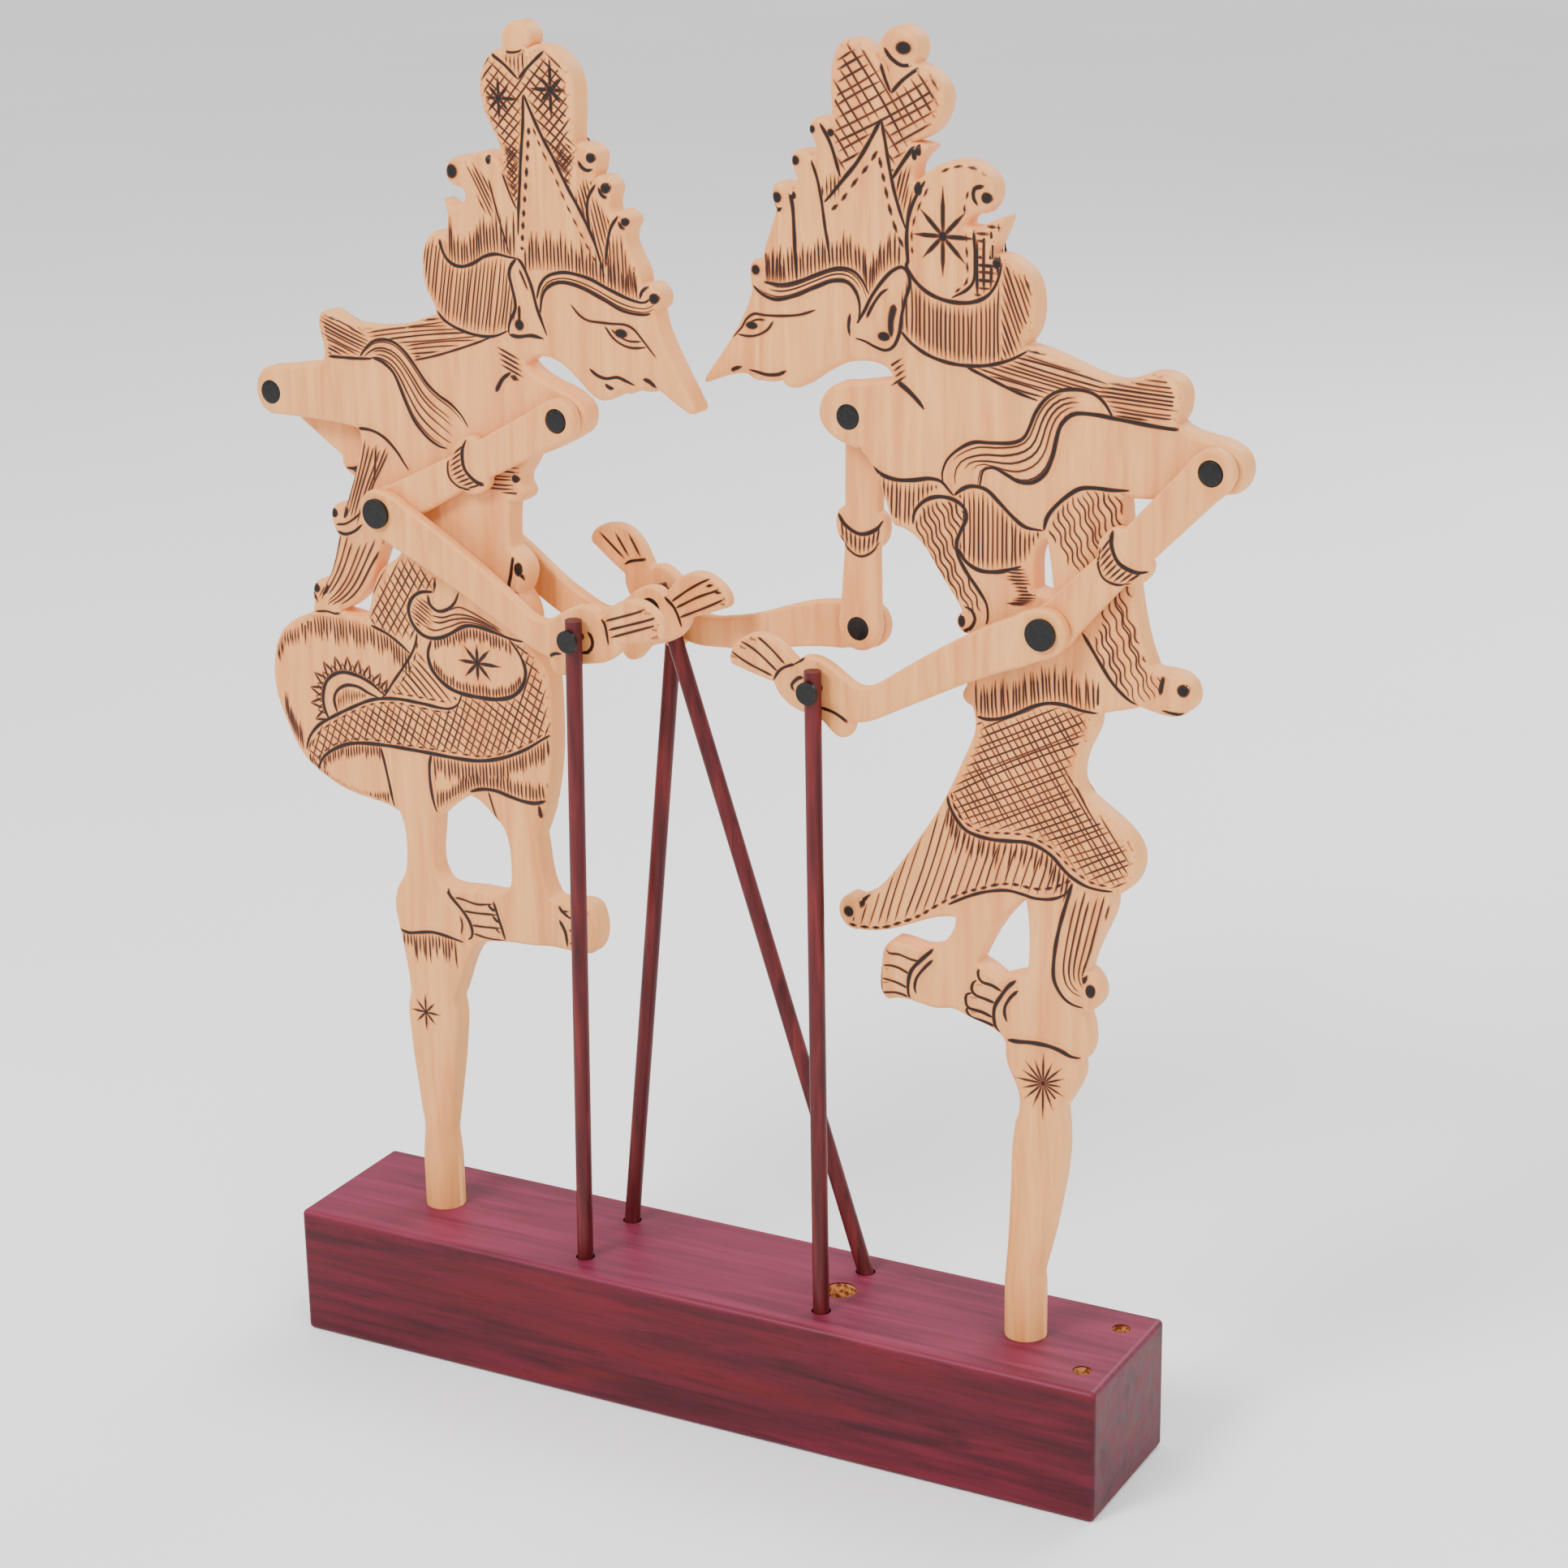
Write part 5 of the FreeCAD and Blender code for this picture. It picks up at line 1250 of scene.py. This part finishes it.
def stained_wood():
    """The block's burgundy stain with a painted sheen on its upward faces, and bare wood on the floors of
    the spare holes.
    """
    n = Nodes("stained_wood")
    grain = n.noise((16, 230, 230), 6.0, 0.8)
    streak = n.noise((9, 90, 90), 3.0, 1.4)
    pores = n.noise((120, 1500, 1500), 2.0)
    stain = n.ramp(grain, (0.28, srgb(56, 8, 18)), (0.5, srgb(78, 13, 29)), (0.72, srgb(94, 18, 36)))
    stain = n.mix(n.share(streak, 0.52, 0.66, 0.6), stain, srgb(40, 6, 12))
    stain = n.mix(n.share(streak, 0.3, 0.44, 0.5, rising=False), stain, srgb(98, 16, 18))
    stain = n.mix(n.share(pores, 0.58, 0.7, 0.35), stain, srgb(30, 5, 9))
    # Painted sheen: faces that point up are mixed towards a lighter pink, standing in for the light they
    # catch from above.
    top_sheen_share = n.add("SeparateXYZ", {"Vector": n.add("TexCoord").outputs["Normal"]}).outputs["Z"]
    top = n.ramp(grain, (0.3, srgb(96, 28, 48)), (0.55, srgb(124, 40, 66)), (0.8, srgb(140, 52, 80)))
    stain = n.mix(n.math("MULTIPLY", top_sheen_share, 0.75), stain, top)
    spots = n.add("TexCoord").outputs["Object"]
    flat = n.add("VectorMath", {0: spots, 1: (1.0, 1.0, 0.0)}, operation="MULTIPLY").outputs[0]
    bare = 0.0
    for x, y, radius in SPARE_HOLES:
        gap = n.add("VectorMath", {0: flat, 1: (x * MM, y * MM, 0)}, operation="DISTANCE").outputs["Value"]
        bare = n.math("MAXIMUM", n.math("LESS_THAN", gap, radius * MM), bare)
    height = n.add("SeparateXYZ", {"Vector": spots}).outputs["Z"]
    bare = n.math("MULTIPLY", bare, n.math("LESS_THAN", height, (STAND_TOP - 0.4) * MM))
    raw = n.ramp(n.noise((900, 900, 900), 3.0), (0.4, srgb(120, 62, 26)), (0.6, srgb(206, 140, 84)))
    n.bump(grain, 0.3, 0.3)
    return n.finish(n.mix(bare, stain, raw), n.span(grain, 0.40, 0.52), 0.22)


def stained_rod():
    n = Nodes("stained_rod")
    grain = n.noise((420, 420, 30), 5.0, 0.5)
    stain = n.ramp(grain, (0.3, srgb(56, 10, 14)), (0.52, srgb(82, 20, 24)), (0.75, srgb(104, 34, 34)))
    n.bump(grain, 0.3, 0.2)
    return n.finish(stain, n.span(grain, 0.38, 0.52), 0.25)


def black_peg():
    n = Nodes("black_pin")
    mottle = n.noise((900, 900, 900), 4.0)
    paint = n.ramp(mottle, (0.35, srgb(10, 10, 11)), (0.7, srgb(26, 24, 25)))
    n.bump(mottle, 0.25, 0.12)
    return n.finish(paint, n.span(mottle, 0.28, 0.42), 0.25)


def pale_floor():
    n = Nodes("studio_floor")
    haze = n.noise((3, 3, 3), 2.0)
    return n.finish(n.ramp(haze, (0.3, srgb(250, 250, 250)), (0.7, srgb(254, 254, 254))), 0.6, 0.2)


# ---------------------------------------------------------------------------- pegs

def peg_face(arm, pin, layer_face, radius, out, body, material):
    """A thin domed disc on a peg's end, standing just proud of the wood round it."""
    x, z = ARMS[arm][pin]
    around = [2 * math.pi * k / PEG_SIDES for k in range(PEG_SIDES)]
    verts = [(x + radius * size * math.cos(t), layer_face + out * rise, z + radius * size * math.sin(t))
             for size, rise in PEG_PROFILE for t in around]
    tip = len(verts)
    verts.append((x, layer_face + out * PEG_TIP, z))
    faces = []
    for ring in range(0, tip, PEG_SIDES):
        for k in range(PEG_SIDES):
            a, b = (ring + k, ring + (k + 1) % PEG_SIDES)[::out]
            last = ring + PEG_SIDES == tip
            faces.append((a, b, tip) if last else (a, b, b + PEG_SIDES, a + PEG_SIDES))
    side = "outer" if out == ARMS[arm]["side"] else "inner"
    piece = new_piece("%s_%s_peg_%s" % (arm, pin, side), arm.split("_")[0], verts, faces, material, {})
    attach(piece, body)


# ---------------------------------------------------------------------------- studio

def soft_light(name, place, size, watts):
    """A round lamp aimed at the middle of the puppets."""
    light = bpy.data.lights.new(name, "AREA")
    light.shape = "DISK"
    light.size = size
    light.energy = watts
    lamp = bpy.data.objects.new(name, light)
    lamp.location = Vector(place)
    lamp.rotation_euler = (Vector((0, 0, 0.15)) - Vector(place)).to_track_quat("-Z", "Y").to_euler()
    bpy.context.collection.objects.link(lamp)


def studio(material, reach=6.0):
    mesh = bpy.data.meshes.new("studio_floor")
    mesh.from_pydata([(-reach, -reach, 0), (reach, -reach, 0), (reach, reach, 0), (-reach, reach, 0)], [],
                     [(0, 1, 2, 3)])
    mesh.materials.append(material)
    floor = bpy.data.objects.new("studio_floor", mesh)
    bpy.context.collection.objects.link(floor)
    world = bpy.data.worlds.new("studio_world")
    world.use_nodes = True
    sky = world.node_tree.nodes["Background"]
    sky.inputs["Color"].default_value = (1, 1, 1, 1)
    sky.inputs["Strength"].default_value = 1.05
    bpy.context.scene.world = world
    soft_light("key_light", (-0.5, -1.3, 1.5), 0.7, 36)
    soft_light("fill_light", (1.4, -0.9, 0.9), 1.2, 12)
    soft_light("back_light", (0.3, 1.3, 1.2), 1.0, 16)


def photo_camera():
    """The photograph's view: 28.4 degrees round, 18.5 degrees up, rolled by 0.9 degrees."""
    round_z, up, roll = (math.radians(a) for a in (28.381, 18.488, -0.939))
    back = Vector((math.sin(round_z) * math.cos(up), -math.cos(round_z) * math.cos(up), math.sin(up)))
    right = Vector((math.cos(round_z), math.sin(round_z), 0))
    above = back.cross(right)
    right, above = (math.cos(roll) * right + math.sin(roll) * above,
                    math.cos(roll) * above - math.sin(roll) * right)
    lens = bpy.data.cameras.new("photo_camera")
    lens.sensor_width = 36.0
    lens.lens = 80.2
    lens.clip_start = 0.05
    camera = bpy.data.objects.new("photo_camera", lens)
    place = Matrix((right, above, back)).transposed().to_4x4()
    place.translation = Vector((460.77, -806.42, 498.12)) * MM
    camera.matrix_world = place
    bpy.context.collection.objects.link(camera)
    bpy.context.scene.camera = camera


# ---------------------------------------------------------------------------- the pair

wood = carved_wood()
slots = {"stained_wood": stained_wood(), "stained_rod": stained_rod(), "black_pin": black_peg()}
for node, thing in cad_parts.items():
    kind = "stained_wood" if node == "stand" else "stained_rod" if node.endswith("_rod") else "black_pin"
    if not node.endswith(("_figure", "_arm", "_forearm")):
        for slot in thing.material_slots:
            slot.material = slots[kind]

SIDES = (("front", -1), ("back", 1))
for figure in FIGURES:
    loops = make_board(figure, wood)
    pen = Pen()
    for part in DRAWING[figure]:
        part(pen)
    for face, sign in SIDES:
        burn("%s_figure_burned_%s" % (figure, face), figure, pen, loops, board_depth, 0.0, sign,
             figure + "_puppet", wood)

for arm, data in ARMS.items():
    figure = arm.split("_")[0]
    facing = FIGURES[figure]["facing"]
    side = data["side"]
    upper = make_arm(arm, "_upper_arm", arm + "_upper", UPPER_LAYER, wood)
    fore = make_arm(arm, "_forearm", arm + "_fore", FORE_LAYER, wood)
    pen = arm_pen(data["shoulder"], data["shoulder"], data["elbow"], facing)
    bracelet(pen, FIGURES[figure]["bracelet"] * math.dist(data["shoulder"], data["elbow"]))
    palm = arm_pen(data["hand"], data["elbow"], data["hand"], facing)
    HANDS[arm](palm)
    for face, sign in SIDES:
        burn("%s_upper_arm_burned_%s" % (arm, face), figure, pen, [upper], arm_depth,
             side * sum(UPPER_LAYER) / 2, sign, arm + "_upper", wood)
        burn("%s_forearm_burned_%s" % (arm, face), figure, palm, [fore], arm_depth,
             side * sum(FORE_LAYER) / 2, sign, arm + "_fore", wood)
    peg_face(arm, "shoulder", side * UPPER_LAYER[1], 3.2, side, figure + "_puppet", slots["black_pin"])
    peg_face(arm, "shoulder", -side * BOARD_HALF, 3.5, -side, figure + "_puppet", slots["black_pin"])

studio(pale_floor())
photo_camera()
